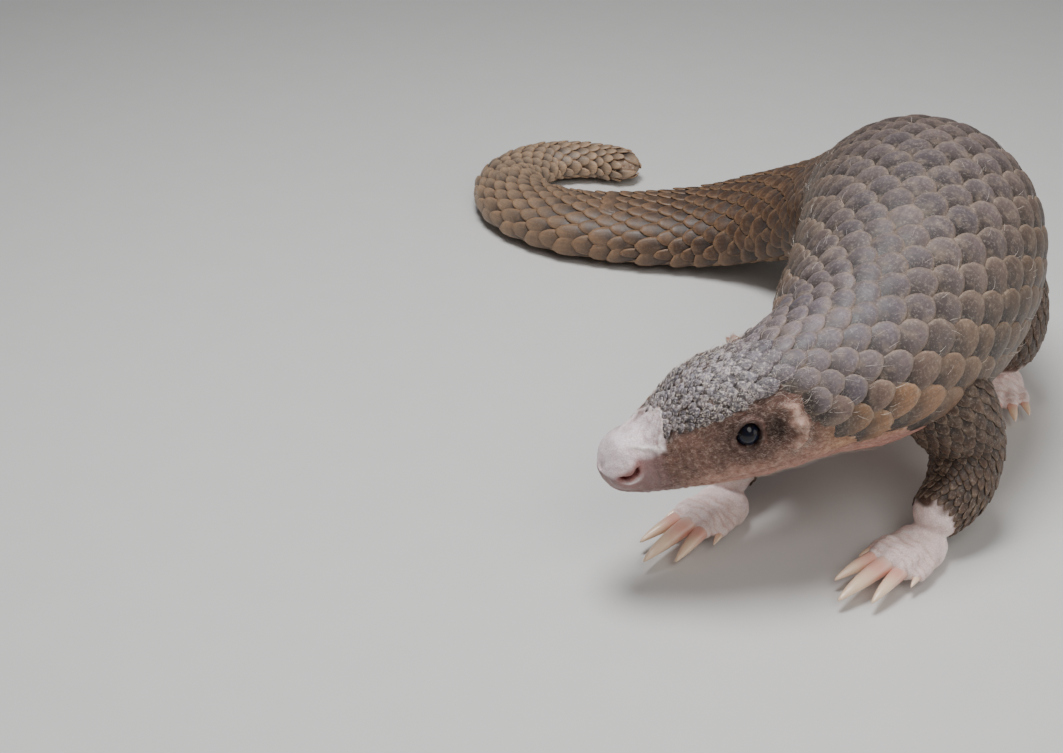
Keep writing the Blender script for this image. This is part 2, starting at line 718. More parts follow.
def joined_mesh(name, meshes):
    """One mesh from several, with no merging."""
    verts, faces, start = [], [], 0
    for mesh in meshes:
        co = np.empty(len(mesh.vertices) * 3)
        mesh.vertices.foreach_get("co", co)
        verts.append(co.reshape(-1, 3))
        faces += [[v + start for v in poly.vertices] for poly in mesh.polygons]
        start += len(mesh.vertices)
        bpy.data.meshes.remove(mesh)
    return new_mesh(name, np.vstack(verts), faces)


# Scales: closed shields that follow the body, each with its free end standing up over the next

class ScaleBatch:
    """Collects scales on a body, then makes one mesh of them."""

    def __init__(self, body, form=None):
        self.body = body
        self.form = form
        self.rows = []

    def add(self, s, angle, drift, length, width, height, thick, tone, tint, worn=1.0):
        """A scale with its tip at s and angle, where drift is how far it turns off for each millimetre."""
        self.rows.append((s, angle, drift, length, width, height, thick, tone, *tint, worn))

    def mesh(self, name, across=7, along=8, round_from=0.5, point=0.5, uneven=0.0, rim=0.8):
        data = np.array(self.rows)
        u = np.linspace(-1, 1, across)[None, None, :]
        v = (np.linspace(0, 1, along) ** 0.65)[None, :, None]
        s0, a0, drift, length, width, height, thick, tone = (data[:, k][:, None, None] for k in range(8))
        end = np.clip((v - round_from) / (1 - round_from), 0, 1)
        half = width / 2 * mix(0.86, 1.0, smooth(v, 0, 0.4)) * (1 - end**2.3) ** point
        half = np.maximum(half, width * 0.07)
        bow = -0.05 * length * u * u * (1 - end)
        s = s0 - length * (1 - v) + bow
        s, _ = np.broadcast_arrays(s, half * u)
        middle = np.broadcast_to(a0 - drift * length * (1 - v), s.shape)
        angle = middle + np.clip(half / np.maximum(self.body.stretch(s, middle), 0.5), 0, 0.8) * u
        edge = np.maximum(np.abs(u), smooth(v, 0.8, 1.0) * 0.999) ** 4
        crown = (1 - u * u) * np.sin(math.pi * np.clip(v * 0.85 + 0.05, 0, 1)) * 0.05 * width
        base = self.form(s, angle) if self.form else 0.0
        base_point = self.body.bare(s, angle)
        rough = uneven * (ripple(base_point, 1.5, 51) + 0.8 * ripple(base_point, 4.0, 52))
        lift = mix(-0.30 - thick, height, v**0.85) + crown - edge * thick * 0.45
        lift = lift + rough * smooth(v, 0.2, 0.6)
        normal = self.body.normal(s, angle)
        top = base_point + normal * (base + lift)[..., None]
        inner = base_point + normal * (base + lift - thick * (1 - 0.35 * edge))[..., None]
        count = len(data)
        per = across * along
        verts = np.concatenate([top.reshape(count, per, 3), inner.reshape(count, per, 3)], axis=1)
        one = self.faces(across, along)
        faces = (one[None] + (np.arange(count) * per * 2)[:, None, None]).reshape(-1, 4)
        mesh = new_mesh(name, placed(verts).reshape(-1, 3), faces.tolist())

        def both_sides(grid):
            return np.concatenate([np.broadcast_to(grid, s.shape).reshape(count, per)] * 2, axis=1)

        put_value(mesh, "across", both_sides(u * half / (width / 2)))
        put_value(mesh, "along", both_sides(v))
        put_value(mesh, "tone", both_sides(tone))
        tip_rim = np.maximum(np.abs(u) ** 6 * smooth(v, 0.35, 0.6), smooth(v, rim, 1.0))
        put_value(mesh, "margin", both_sides(tip_rim))
        put_value(mesh, "worn", both_sides(data[:, 11][:, None, None]))
        put_colour(mesh, "tint", np.repeat(data[:, None, 8:11], per * 2, axis=1))
        put_map(mesh, BAKE_MAP, self.cells(count, across, along))
        return mesh

    def faces(self, across, along):
        """Quads of one scale: its top, its underside and the rim between them."""
        per = across * along
        i, j = np.meshgrid(np.arange(along - 1), np.arange(across - 1), indexing="ij")
        a = (i * across + j).ravel()
        quads = np.stack([a, a + across, a + across + 1, a + 1], axis=-1)
        under = quads[:, ::-1] + per
        border = (
            list(range(across))
            + [i * across + across - 1 for i in range(1, along)]
            + [(along - 1) * across + j for j in range(across - 2, -1, -1)]
            + [i * across for i in range(along - 2, 0, -1)]
        )
        following = border[1:] + border[:1]
        rim = np.array([[p, q, q + per, p + per] for p, q in zip(border, following)])
        return np.vstack([quads, under, rim])

    def cells(self, count, across, along):
        """Each scale's own cell of the map, in the order in which the rows lie on the body."""
        side = math.ceil(math.sqrt(count))
        cell = np.arange(count)
        corner = np.stack([cell % side, cell // side], axis=-1) / side
        u = np.tile(np.linspace(0.06, 0.94, across), along)
        v = np.repeat(np.linspace(0.04, 0.48, along), across)
        top = np.stack([u, v], axis=-1)
        both = np.vstack([top, top + (0, 0.5)])
        return corner[:, None] + both[None] / side


def column_angle(body, s, column, pitch, widening):
    """The angle of a column of scales, counted from the middle of the back, or None past the belly."""
    table, lengths = body.girth_table(s)
    away = pitch * (abs(column) + widening * column * column)
    if away > lengths[-1] * 1.001:
        return None
    return math.copysign(float(np.interp(away, lengths, table)), column)


def lattice(body, start, end, layout, reach, draw):
    """Scale tips in staggered rows: distance along, angle, drift, row step and column width.

    layout(s) gives the row step, the column width on the back, and how much wider each further column is.
    """
    s = start
    row = 0
    while s < end:
        step, pitch, widening = layout(s)
        _, pitch_before, widening_before = layout(s - 1)
        most = int(body.girth_table(s)[1][-1] / pitch) + 2
        for j in range(-most, most + 1):
            column = j + 0.5 * (row % 2)
            angle = column_angle(body, s, column, pitch, widening)
            before = column_angle(body, s - 1, column, pitch_before, widening_before)
            if angle is None or (column < 0 and angle < -math.pi * 0.999):
                continue
            if abs(math.degrees(angle)) < reach(s) + draw.normal(0, 1.2):
                drift = angle - before if before is not None else 0.0
                yield s, angle, drift, step, pitch * (1 + 2 * widening * abs(column))
        s += step
        row += 1


def ring_layout(body, columns, first_step, last_step, start, end):
    """A layout with the same number of columns all round and a step that changes from start to end."""
    def layout(s):
        step = mix(first_step, last_step, min(1, max(0, (s - start) / (end - start))))
        return step, 2 * body.girth_table(s)[1][-1] / columns, 0.0

    return layout


# Hairs: thin tapered tubes of three sides, bent along the lie

def hair_mesh(name, body, s, angle, length, radius, lean, draw, form=None, turn=0.5, joints=4):
    count = len(s)
    base = form(s, angle) if form else 0.0
    root = body.at(s, angle, base - 0.15)
    out = body.normal(s, angle)
    back = body.back_way(s)
    back = unit(back - out * np.sum(back * out, axis=-1, keepdims=True))
    side = np.cross(out, back)
    sway = draw.normal(0, turn, count)[:, None]
    lie = unit(back * np.cos(sway) + side * np.sin(sway))
    curl = draw.normal(0, 0.2, count)[:, None]
    t = np.linspace(0, 1, joints)
    line = np.empty((count, joints, 3))
    for k, share in enumerate(t):
        bend = lean[:, None] * share
        line[:, k] = (
            root
            + out * (length[:, None] * share * (1 - 0.75 * bend))
            + lie * (length[:, None] * share * bend)
            + side * (length[:, None] * curl * share * share * 0.4)
        )
    way = unit(np.gradient(line, axis=1))
    first = unit(np.cross(way, side[:, None]))
    second = np.cross(way, first)
    taper = (radius[:, None] * (1 - 0.85 * t))[..., None]
    sides = 3
    rings = [
        line + (first * math.cos(k / sides * math.tau) + second * math.sin(k / sides * math.tau)) * taper
        for k in range(sides)
    ]
    verts = np.stack(rings, axis=2).reshape(count, joints * sides, 3)
    i, j = np.meshgrid(np.arange(joints - 1), np.arange(sides), indexing="ij")
    k = (j + 1) % sides
    quads = np.stack([i * sides + j, (i + 1) * sides + j, (i + 1) * sides + k, i * sides + k], axis=-1)
    quads = quads.reshape(-1, 4)
    ends = np.array([[0, 1, 2], [(joints - 1) * sides + 2, (joints - 1) * sides + 1, (joints - 1) * sides]])
    shift = (np.arange(count) * joints * sides)[:, None, None]
    faces = (quads[None] + shift).reshape(-1, 4).tolist() + (ends[None] + shift).reshape(-1, 3).tolist()
    mesh = new_mesh(name, placed(verts).reshape(-1, 3), faces)
    put_value(mesh, "along", np.broadcast_to(np.repeat(t, sides), (count, joints * sides)))
    put_value(mesh, "tone", np.repeat(draw.random(count), joints * sides))
    patch = np.stack([np.repeat(t, sides), np.tile(np.arange(sides) / sides, joints)], axis=-1) * 0.003
    place = np.stack([s / body.length * 0.99, (angle / math.tau + 0.5) * 0.99], axis=-1)
    put_map(mesh, BAKE_MAP, (place[:, None] + patch[None]).reshape(-1, 2))
    return mesh


# Material building

class Nodes:
    """Short calls for making a node tree. Where a name starts with i, a number says which input it is."""

    def __init__(self, tree):
        self.tree = tree
        self.tree.nodes.clear()

    def make(self, kind, **settings):
        node = self.tree.nodes.new(kind)
        for key, value in settings.items():
            if key.startswith("_"):
                setattr(node, key[1:], value)
                continue
            by_number = key[0] == "i" and key[1:].isdigit()
            socket = node.inputs[int(key[1:]) if by_number else key.replace("_", " ")]
            if isinstance(value, bpy.types.NodeSocket):
                self.tree.links.new(value, socket)
            else:
                socket.default_value = value
        return node

    def value(self, name):
        return self.make("ShaderNodeAttribute", _attribute_name=name).outputs["Fac"]

    def colour(self, name):
        return self.make("ShaderNodeAttribute", _attribute_name=name).outputs["Color"]

    def math(self, operation, a, b=0.0, c=0.0):
        return self.make("ShaderNodeMath", _operation=operation, i0=a, i1=b, i2=c).outputs[0]

    def blend(self, share, a, b, kind="MIX"):
        node = self.tree.nodes.new("ShaderNodeMix")
        node.data_type = "RGBA"
        node.blend_type = kind
        for socket, value in ((node.inputs[0], share), (node.inputs[6], a), (node.inputs[7], b)):
            if isinstance(value, bpy.types.NodeSocket):
                self.tree.links.new(value, socket)
            else:
                socket.default_value = value
        return node.outputs[2]

    def noise(self, scale, detail=3.0, vector=None, rough=0.5):
        node = self.make("ShaderNodeTexNoise", Scale=scale, Detail=detail, Roughness=rough)
        if vector is not None:
            self.tree.links.new(vector, node.inputs["Vector"])
        return node.outputs["Fac"]

    def spread(self, value, low, high, to_low=0.0, to_high=1.0):
        node = self.make("ShaderNodeMapRange", i0=value, i1=low, i2=high, i3=to_low, i4=to_high)
        return node.outputs[0]

    def place(self):
        return self.make("ShaderNodeTexCoord").outputs["Object"]

    def spot(self, x, y, z=0.0):
        return self.make("ShaderNodeCombineXYZ", X=x, Y=y, Z=z).outputs[0]


def group_tree(name, inputs, outputs):
    tree = bpy.data.node_groups.new(name, "ShaderNodeTree")
    nodes = Nodes(tree)
    for label, kind, default in inputs:
        socket = tree.interface.new_socket(label, in_out="INPUT", socket_type=kind)
        socket.default_value = default
    for label, kind in outputs:
        tree.interface.new_socket(label, in_out="OUTPUT", socket_type=kind)
    return tree, nodes, nodes.make("NodeGroupInput"), nodes.make("NodeGroupOutput")


# Shades inside the patterns of horn, skin and eye
HORN_SHADES = {
    "root": (0.035, 0.027, 0.024, 1),
    "line": (0.075, 0.058, 0.052, 1),
    "ring": (0.06, 0.045, 0.04, 1),
    "fleck": (0.72, 0.62, 0.53, 1),
    "pit": (0.045, 0.036, 0.036, 1),
    "claw line": (0.33, 0.22, 0.14, 1),
}
EYE_SHADE = (0.018, 0.012, 0.010, 1)
SKIN_SHADES = {
    "rosy": (0.42, 0.17, 0.13, 1),
    "blotch": (0.42, 0.30, 0.26, 1),
    "lit": (0.85, 0.72, 0.62, 1),
    "pale": (0.85, 0.75, 0.68, 1),
    "crease": (0.14, 0.075, 0.055, 1),
}


def horn_group():
    """Colour, roughness and height of a horn plate: grown lines, a dark root, a pale worn margin."""
    if "Horn plate" in bpy.data.node_groups:
        return bpy.data.node_groups["Horn plate"]
    tree, n, start, end = group_tree(
        "Horn plate",
        (
            ("Tint", "NodeSocketColor", (0.3, 0.25, 0.2, 1)),
            ("Margin colour", "NodeSocketColor", (0.7, 0.6, 0.5, 1)),
            ("Margin share", "NodeSocketFloat", 0.5),
            ("Root darkness", "NodeSocketFloat", 0.6),
            ("Line count", "NodeSocketFloat", 9.0),
            ("Flake share", "NodeSocketFloat", 0.2),
        ),
        (("Colour", "NodeSocketColor"), ("Roughness", "NodeSocketFloat"), ("Height", "NodeSocketFloat")),
    )
    along, across = n.value("along"), n.value("across")
    tone, margin = n.value("tone"), n.value("margin")
    place = n.place()
    start_of = start.outputs
    seed = n.math("MULTIPLY", tone, 31.0)
    wobble = n.math("MULTIPLY", n.noise(900, 2, place), 0.5)
    fan = n.spot(n.math("ADD", n.math("MULTIPLY", across, start_of["Line count"]), seed), along, wobble)
    lines = n.noise(1.0, 3, fan, 0.7)
    ring_place = n.math("ADD", n.math("MULTIPLY", along, 17.0), n.math("MULTIPLY", wobble, 2.0))
    rings = n.noise(1.0, 2, n.spot(n.math("MULTIPLY", across, 1.3), ring_place, seed), 0.6)
    cloud = n.noise(260, 3, place)
    speck = n.noise(2600, 2, place)
    dark = n.math("MULTIPLY", n.spread(along, 0.42, 0.84, 1.0, 0.0), start_of["Root darkness"])
    shade = n.blend(dark, start_of["Tint"], HORN_SHADES["root"])
    warm = n.make(
        "ShaderNodeCombineColor",
        Red=n.spread(tone, 0, 1, 0.76, 1.24),
        Green=n.spread(tone, 0, 1, 0.79, 1.19),
        Blue=n.spread(tone, 0, 1, 0.84, 1.13),
    )
    toned = n.blend(1.0, shade, warm.outputs[0], "MULTIPLY")
    lined = n.blend(n.spread(lines, 0.42, 0.68, 0.0, 0.5), toned, HORN_SHADES["line"])
    ringed = n.blend(n.spread(rings, 0.5, 0.7, 0.0, 0.3), lined, HORN_SHADES["ring"])
    light = n.blend(n.spread(cloud, 0.5, 0.75, 0.0, 0.3), ringed, start_of["Margin colour"])
    ragged = n.spread(n.math("ADD", lines, speck), 0.75, 1.15, 0.35, 1.0)
    worn = n.value("worn")
    flakes = n.math("MULTIPLY", start_of["Flake share"], worn)
    margin_share = n.math("MULTIPLY", start_of["Margin share"], worn)
    edge = n.math("MULTIPLY", n.math("MULTIPLY", margin, ragged), margin_share)
    rimmed = n.blend(edge, light, start_of["Margin colour"])
    coarse = n.noise(1100, 3, place, 0.7)
    gritty = n.math("ADD", coarse, n.math("MULTIPLY", speck, 0.5))
    fleck = n.math("MULTIPLY", n.spread(gritty, 0.80, 0.92), flakes)
    flaked = n.blend(fleck, rimmed, HORN_SHADES["fleck"])
    hole = n.math("MULTIPLY", n.spread(coarse, 0.50, 0.38), flakes)
    final = n.blend(hole, flaked, HORN_SHADES["pit"])
    tree.links.new(final, end.inputs["Colour"])
    grey = n.math("ADD", cloud, n.math("MULTIPLY", speck, 0.4))
    tree.links.new(n.spread(grey, 0.45, 0.95, 0.36, 0.62), end.inputs["Roughness"])
    fine = n.math("ADD", n.math("MULTIPLY", lines, 0.7), n.math("MULTIPLY", speck, 0.3))
    deep = n.math("MULTIPLY", n.math("MULTIPLY", coarse, flakes), 1.6)
    height = n.math("ADD", n.math("ADD", fine, n.math("MULTIPLY", rings, 0.5)), deep)
    tree.links.new(height, end.inputs["Height"])
    return tree


def pores_group():
    """Pores, wrinkles and blotches of bare skin."""
    if "Skin grain" in bpy.data.node_groups:
        return bpy.data.node_groups["Skin grain"]
    tree, n, start, end = group_tree(
        "Skin grain",
        (
            ("Tint", "NodeSocketColor", (0.6, 0.45, 0.4, 1)),
            ("Blotch share", "NodeSocketFloat", 0.3),
            ("Crease share", "NodeSocketFloat", 0.5),
            ("Mottle", "NodeSocketFloat", 0.5),
        ),
        (("Colour", "NodeSocketColor"), ("Height", "NodeSocketFloat")),
    )
    place = n.place()
    cells = n.make("ShaderNodeTexVoronoi", _feature="DISTANCE_TO_EDGE", Scale=1300.0)
    tree.links.new(place, cells.inputs["Vector"])
    crease = n.spread(cells.outputs["Distance"], 0.0, 0.16, 1.0, 0.0)
    blotch = n.noise(190, 4, place)
    mottle = n.noise(620, 4, place, 0.65)
    fine = n.noise(3200, 2, place)
    red_share = n.math("MULTIPLY", n.spread(blotch, 0.45, 0.7), start.outputs["Blotch share"])
    rosy = n.blend(red_share, start.outputs["Tint"], SKIN_SHADES["rosy"])
    dark_share = n.math("MULTIPLY", n.spread(mottle, 0.56, 0.36), start.outputs["Mottle"])
    brown = n.blend(n.math("MULTIPLY", dark_share, 0.75), rosy, SKIN_SHADES["blotch"], "MULTIPLY")
    light_share = n.math("MULTIPLY", n.spread(mottle, 0.56, 0.72), start.outputs["Mottle"])
    lit = n.blend(n.math("MULTIPLY", light_share, 0.30), brown, SKIN_SHADES["lit"])
    pale = n.blend(n.math("MULTIPLY", n.spread(fine, 0.58, 0.75), 0.22), lit, SKIN_SHADES["pale"])
    crease_share = n.math("MULTIPLY", crease, start.outputs["Crease share"])
    dark = n.blend(n.math("MULTIPLY", crease_share, 0.40), pale, SKIN_SHADES["crease"])
    tree.links.new(dark, end.inputs["Colour"])
    grain = n.math("SUBTRACT", n.math("MULTIPLY", fine, 0.30), n.math("MULTIPLY", crease_share, 0.5))
    lumpy = n.math("MULTIPLY", n.math("MULTIPLY", mottle, start.outputs["Mottle"]), 1.5)
    tree.links.new(n.math("ADD", grain, lumpy), end.inputs["Height"])
    return tree


def new_material(name, shown):
    material = bpy.data.materials.new(name)
    material.use_nodes = True
    material.diffuse_color = (*shown, 1)
    nodes = Nodes(material.node_tree)
    shader = nodes.make("ShaderNodeBsdfPrincipled")
    output = nodes.make("ShaderNodeOutputMaterial")
    material.node_tree.links.new(shader.outputs[0], output.inputs[0])
    return material, nodes, shader


def bumped(nodes, shader, height, strength, distance):
    node = nodes.make("ShaderNodeBump", Strength=strength, Distance=distance, Height=height)
    nodes.tree.links.new(node.outputs[0], shader.inputs["Normal"])


def rgba(colour):
    return (*colour[:3], 1.0)


def horn_material(name, margin, margin_share, root, lines, flakes, gloss=0.0):
    material, n, shader = new_material(name, margin)
    horn = n.make("ShaderNodeGroup", _node_tree=horn_group(), Tint=n.colour("tint"))
    for label, value in (
        ("Margin colour", rgba(margin)),
        ("Margin share", margin_share),
        ("Root darkness", root),
        ("Line count", lines),
        ("Flake share", flakes),
    ):
        horn.inputs[label].default_value = value
    links = material.node_tree.links
    links.new(horn.outputs["Colour"], shader.inputs["Base Color"])
    links.new(horn.outputs["Roughness"], shader.inputs["Roughness"])
    bumped(n, shader, horn.outputs["Height"], 0.55, 0.00022)
    shader.inputs["Specular IOR Level"].default_value = 0.36
    shader.inputs["Coat Weight"].default_value = gloss
    shader.inputs["Coat Roughness"].default_value = 0.35
    return material


def skin_material():
    material, n, shader = new_material("pangolin_skin", (0.6, 0.45, 0.38))
    grain = n.make("ShaderNodeGroup", _node_tree=pores_group(), Tint=n.colour("tint"))
    grain.inputs["Blotch share"].default_value = 0.16
    grain.inputs["Crease share"].default_value = 0.6
    material.node_tree.links.new(n.value("mottle"), grain.inputs["Mottle"])
    links = material.node_tree.links
    links.new(grain.outputs["Colour"], shader.inputs["Base Color"])
    links.new(n.spread(n.value("wet"), 0, 1, 0.62, 0.27), shader.inputs["Roughness"])
    bumped(n, shader, grain.outputs["Height"], 0.6, 0.00034)
    shader.inputs["Subsurface Weight"].default_value = 0.12
    shader.inputs["Subsurface Radius"].default_value = (0.0022, 0.0010, 0.0006)
    shader.inputs["Subsurface Scale"].default_value = 1.0
    return material


def claw_material(c):
    material, n, shader = new_material("claw_horn", c.claw_tip)
    along = n.value("along")
    cloud = n.noise(420, 3, n.place())
    near_root = n.spread(n.math("ADD", along, n.math("MULTIPLY", cloud, 0.12)), 0.12, 0.3)
    near = n.blend(near_root, rgba(c.claw_base), rgba(c.claw_quick))
    towards_tip = n.spread(n.math("ADD", along, n.math("MULTIPLY", cloud, 0.2)), 0.42, 0.72)
    full = n.blend(towards_tip, near, rgba(c.claw_tip))
    fan = n.spot(n.math("MULTIPLY", n.value("across"), 16.0), n.math("MULTIPLY", along, 1.4))
    lines = n.noise(1.0, 3, fan, 0.6)
    lined = n.blend(n.spread(lines, 0.5, 0.72, 0.0, 0.35), full, HORN_SHADES["claw line"])
    material.node_tree.links.new(lined, shader.inputs["Base Color"])
    material.node_tree.links.new(n.spread(lines, 0.3, 0.7, 0.2, 0.36), shader.inputs["Roughness"])
    bumped(n, shader, lines, 0.3, 0.00015)
    shader.inputs["Coat Weight"].default_value = 0.5
    shader.inputs["Coat Roughness"].default_value = 0.12
    shader.inputs["Subsurface Weight"].default_value = 0.1
    shader.inputs["Subsurface Radius"].default_value = (0.0016, 0.0009, 0.0005)
    return material


def eye_material(c):
    material, n, shader = new_material("eye_gloss", c.eye)
    cloud = n.noise(500, 3, n.place())
    colour = n.blend(n.spread(cloud, 0.4, 0.7), rgba(c.eye), EYE_SHADE)
    material.node_tree.links.new(colour, shader.inputs["Base Color"])
    shader.inputs["Roughness"].default_value = 0.05
    shader.inputs["Specular IOR Level"].default_value = 0.28
    return material


def hair_material(name, colour, root_colour):
    material, n, shader = new_material(name, colour)
    along = n.value("along")
    body = n.blend(n.spread(along, 0.0, 0.5), rgba(root_colour), rgba(colour))
    toned = n.blend(n.spread(n.value("tone"), 0, 1, 0.0, 0.35), body, rgba(root_colour))
    material.node_tree.links.new(toned, shader.inputs["Base Color"])
    shader.inputs["Roughness"].default_value = 0.45
    return material


# What a user would change

def length_property(name, description, value):
    return FloatProperty(name=name, description=description, default=value, unit="LENGTH")


def count_property(name, description, value):
    return IntProperty(name=name, description=description, default=value, min=0)


class PangolinSizes(PropertyGroup):
    head_cell: length_property("Head cell", "Mesh step over the face", 0.00036)
    body_cell: length_property("Body cell", "Mesh step over the trunk and tail", 0.0021)
    foot_cell: length_property("Foot cell", "Mesh step over legs and feet", 0.0006)
    back_thick: length_property("Back scale thickness", "Thickness of a scale of the back", 0.0006)
    bristle_length: length_property("Bristle length", "Length of the bristles between the scales", 0.0058)
    hair_length: length_property("Face hair length", "Length of the fine hairs of the face", 0.0014)
    columns: count_property("Skin columns", "Mesh columns round the body", 320)
    bristles: count_property("Bristles", "How many bristles stand between the scales", 430)
    hairs: count_property("Face hairs", "How many fine hairs the face and throat have", 9000)


def colour_property(name, description, value):
    return FloatVectorProperty(
        name=name, description=description, default=value, subtype="COLOR", size=3, min=0, max=1
    )


class PangolinColours(PropertyGroup):
    nose: colour_property("Nose", "Moist pad of the nose", (0.97, 0.81, 0.84))
    nose_side: colour_property("Nose side", "Darker sides of the nose", (0.22, 0.115, 0.108))
    nose_crease: colour_property("Nose crease", "Pale wrinkles behind the nose pad", (0.95, 0.86, 0.85))
    nostril: colour_property("Nostril", "Inside of the nostril and the mouth line", (0.13, 0.012, 0.014))
    nostril_edge: colour_property("Nostril edge", "Reddened skin round the nostril", (0.50, 0.19, 0.17))
    face: colour_property("Face", "Skin between nose and ear", (0.175, 0.090, 0.064))
    cheek: colour_property("Cheek", "Paler skin of the lower face", (0.47, 0.265, 0.20))
    neck_side: colour_property("Neck side", "Tan bare skin behind the cheek", (0.52, 0.30, 0.16))
    throat: colour_property("Throat", "Dusty pink skin of the throat", (0.50, 0.25, 0.20))
    crease: colour_property("Creases", "Depths of the skin's folds", (0.22, 0.075, 0.050))
    belly: colour_property("Belly", "Skin of the belly", (0.58, 0.37, 0.29))
    eye_surround: colour_property("Round the eye", "Wrinkled skin round the eye", (0.105, 0.050, 0.034))
    lid_line: colour_property("Lid line", "Wet edge of the lids", (0.03, 0.014, 0.010))
    ear: colour_property("Ear", "Ridge of the ear", (0.57, 0.36, 0.28))
    ear_hollow: colour_property("Ear hollow", "Hollow in front of the ear's ridge", (0.045, 0.018, 0.010))
    under_scale: colour_property("Under the scales", "Dark skin between scales", (0.060, 0.040, 0.032))
    foot: colour_property("Feet", "Skin of the feet and toes", (0.96, 0.78, 0.74))
    leg_skin: colour_property("Leg skin", "Skin under the leg scales", (0.075, 0.042, 0.028))
    crown_scale: colour_property("Crown scales", "Small scales on top of the crown", (0.44, 0.395, 0.435))
    crown_slate: colour_property("Crown slate", "Bluish dark scales of the crown", (0.085, 0.082, 0.104))
    crown_edge: colour_property("Crown edge", "Darker scales at the crown's edge", (0.105, 0.088, 0.094))
    nape_scale: colour_property("Nape scales", "Scales behind the crown", (0.190, 0.155, 0.176))
    back_scale: colour_property("Back scales", "Scales on top of the back", (0.150, 0.119, 0.122))
    side_scale: colour_property("Side scales", "Browner scales down the sides", (0.140, 0.088, 0.056))
    cheek_scale: colour_property("Cheek scales", "Tan scales at the edge of the neck", (0.36, 0.19, 0.095))
    tail_scale: colour_property("Tail scales", "Scales of the tail's root", (0.082, 0.036, 0.014))
    tail_tip_scale: colour_property("Tail tip scales", "Paler scales towards the tip", (0.46, 0.32, 0.21))
    leg_scale: colour_property("Leg scales", "Small dark scales of the legs", (0.080, 0.041, 0.023))
    scale_margin: colour_property("Scale margin", "Worn edge of a scale", (0.42, 0.31, 0.22))
    tail_margin: colour_property("Tail margin", "Worn edge of a tail scale", (0.34, 0.20, 0.11))
    crown_flake: colour_property("Crown flake", "Flaked edge of a crown scale", (0.33, 0.295, 0.315))
    claw_base: colour_property("Claw base", "Claw at its root", (0.76, 0.56, 0.47))
    claw_quick: colour_property("Claw quick", "Pink quick of the claw", (0.78, 0.42, 0.33))
    claw_tip: colour_property("Claw tip", "Cream tip of the claw", (0.90, 0.66, 0.47))
    bristle: colour_property("Bristles", "Whitish bristles", (0.88, 0.81, 0.72))
    face_hair: colour_property("Face hairs", "Pale fine hairs of face and throat", (0.66, 0.52, 0.43))
    eye: colour_property("Eye", "Eye under its gloss", (0.005, 0.009, 0.024))
    floor: colour_property("Floor", "Pale floor", (0.66, 0.65, 0.63))


# Skin

def growing_rows(sizes):
    """Places of the skin's rings, fine over the face and coarser behind it."""
    fine = sizes.head_cell / MM
    coarse = sizes.body_cell / MM
    turns = np.arange(0.05, math.pi / 2, fine / NOSE_ROUND)
    rows = list(NOSE_ROUND * (1 - np.cos(turns)))
    while rows[-1] < SPINE.length - TAIL_ROUND:
        rows.append(rows[-1] + mix(fine, coarse, float(smooth(rows[-1], 68, 120))))
    rows = [s for s in rows if s < SPINE.length - TAIL_ROUND - coarse / 2]
    ends = SPINE.length - TAIL_ROUND * (1 - np.cos(np.linspace(math.pi / 2, 0.06, 16)))
    return np.array(rows + list(ends))


def spine_skin(sizes, colours):
    s = growing_rows(sizes)
    angle = np.linspace(-math.pi, math.pi, sizes.columns, endpoint=False)
    grid_s, grid_angle = np.meshgrid(s, angle, indexing="ij")
    relief = skin_relief(grid_s, grid_angle)
    inset = 0.35 * smooth(grid_s, 70, 90)
    points = SPINE.bare(grid_s, grid_angle) + SPINE.normal(grid_s, grid_angle) * (relief - inset)[..., None]
    tint, wet, mottle = skin_tint(grid_s, grid_angle, colours)
    looks = np.concatenate([tint, wet[..., None], mottle[..., None]], axis=-1)
    return tube_mesh("spine_skin", placed(points)), looks.reshape(-1, 5)


def lump_mesh(name, centre, ahead, side, radii):
    up = np.cross(ahead, side)
    up = up if up[2] > 0 else -up
    polar = np.linspace(0.05, math.pi - 0.05, 22)
    turn = np.linspace(0, math.tau, 30, endpoint=False)
    p, t = np.meshgrid(polar, turn, indexing="ij")
    rings = (
        centre
        + ahead * (-radii[0] * np.cos(p))[..., None]
        + side * (radii[1] * np.sin(p) * np.cos(t))[..., None]
        + up * (radii[2] * np.sin(p) * np.sin(t))[..., None]
    )
    return tube_mesh(name, placed(rings))


def claw_place(leg, claw):
    across, start, _, _, depth = claw
    ahead = heading_of(leg)
    side = np.cross(ahead, (0, 0, 1)) * -leg["sign"]
    way = unit(ahead + side * across * 0.28)
    reach = leg["shape"]["length"] * 0.5 - 2 + start
    raw = np.array([*leg["heading"], 0.0])
    raw_side = np.cross(raw, (0, 0, 1)) * -leg["sign"]
    centre = np.array([*leg["at"], 0.0]) + raw * reach + raw_side * across * leg["shape"]["pad"][1]
    centre[2] = depth / 2 + 1.2
    return way, centre


def toe_parts(leg, claw):
    """The lump of a toe behind its claw, and the knuckle on top of it."""
    toe = leg["shape"]["toe"]
    way, centre = claw_place(leg, claw)
    size = min(max(claw[3] / 4, 0.75), 1.15)
    root = centre - way * toe[0] * 0.55
    across = np.cross(way, (0, 0, 1))
    knuckle = root - way * toe[0] * 0.25 + np.array([0, 0, toe[2] * size * 0.35])
    knuckle_size = (toe[0] * 0.5, toe[1] * size, toe[2] * size * 0.8)
    return [
        lump_mesh("toe", root, way, across, (toe[0], toe[1] * size, toe[2] * size)),
        lump_mesh("knuckle", knuckle, way, across, knuckle_size),
    ]


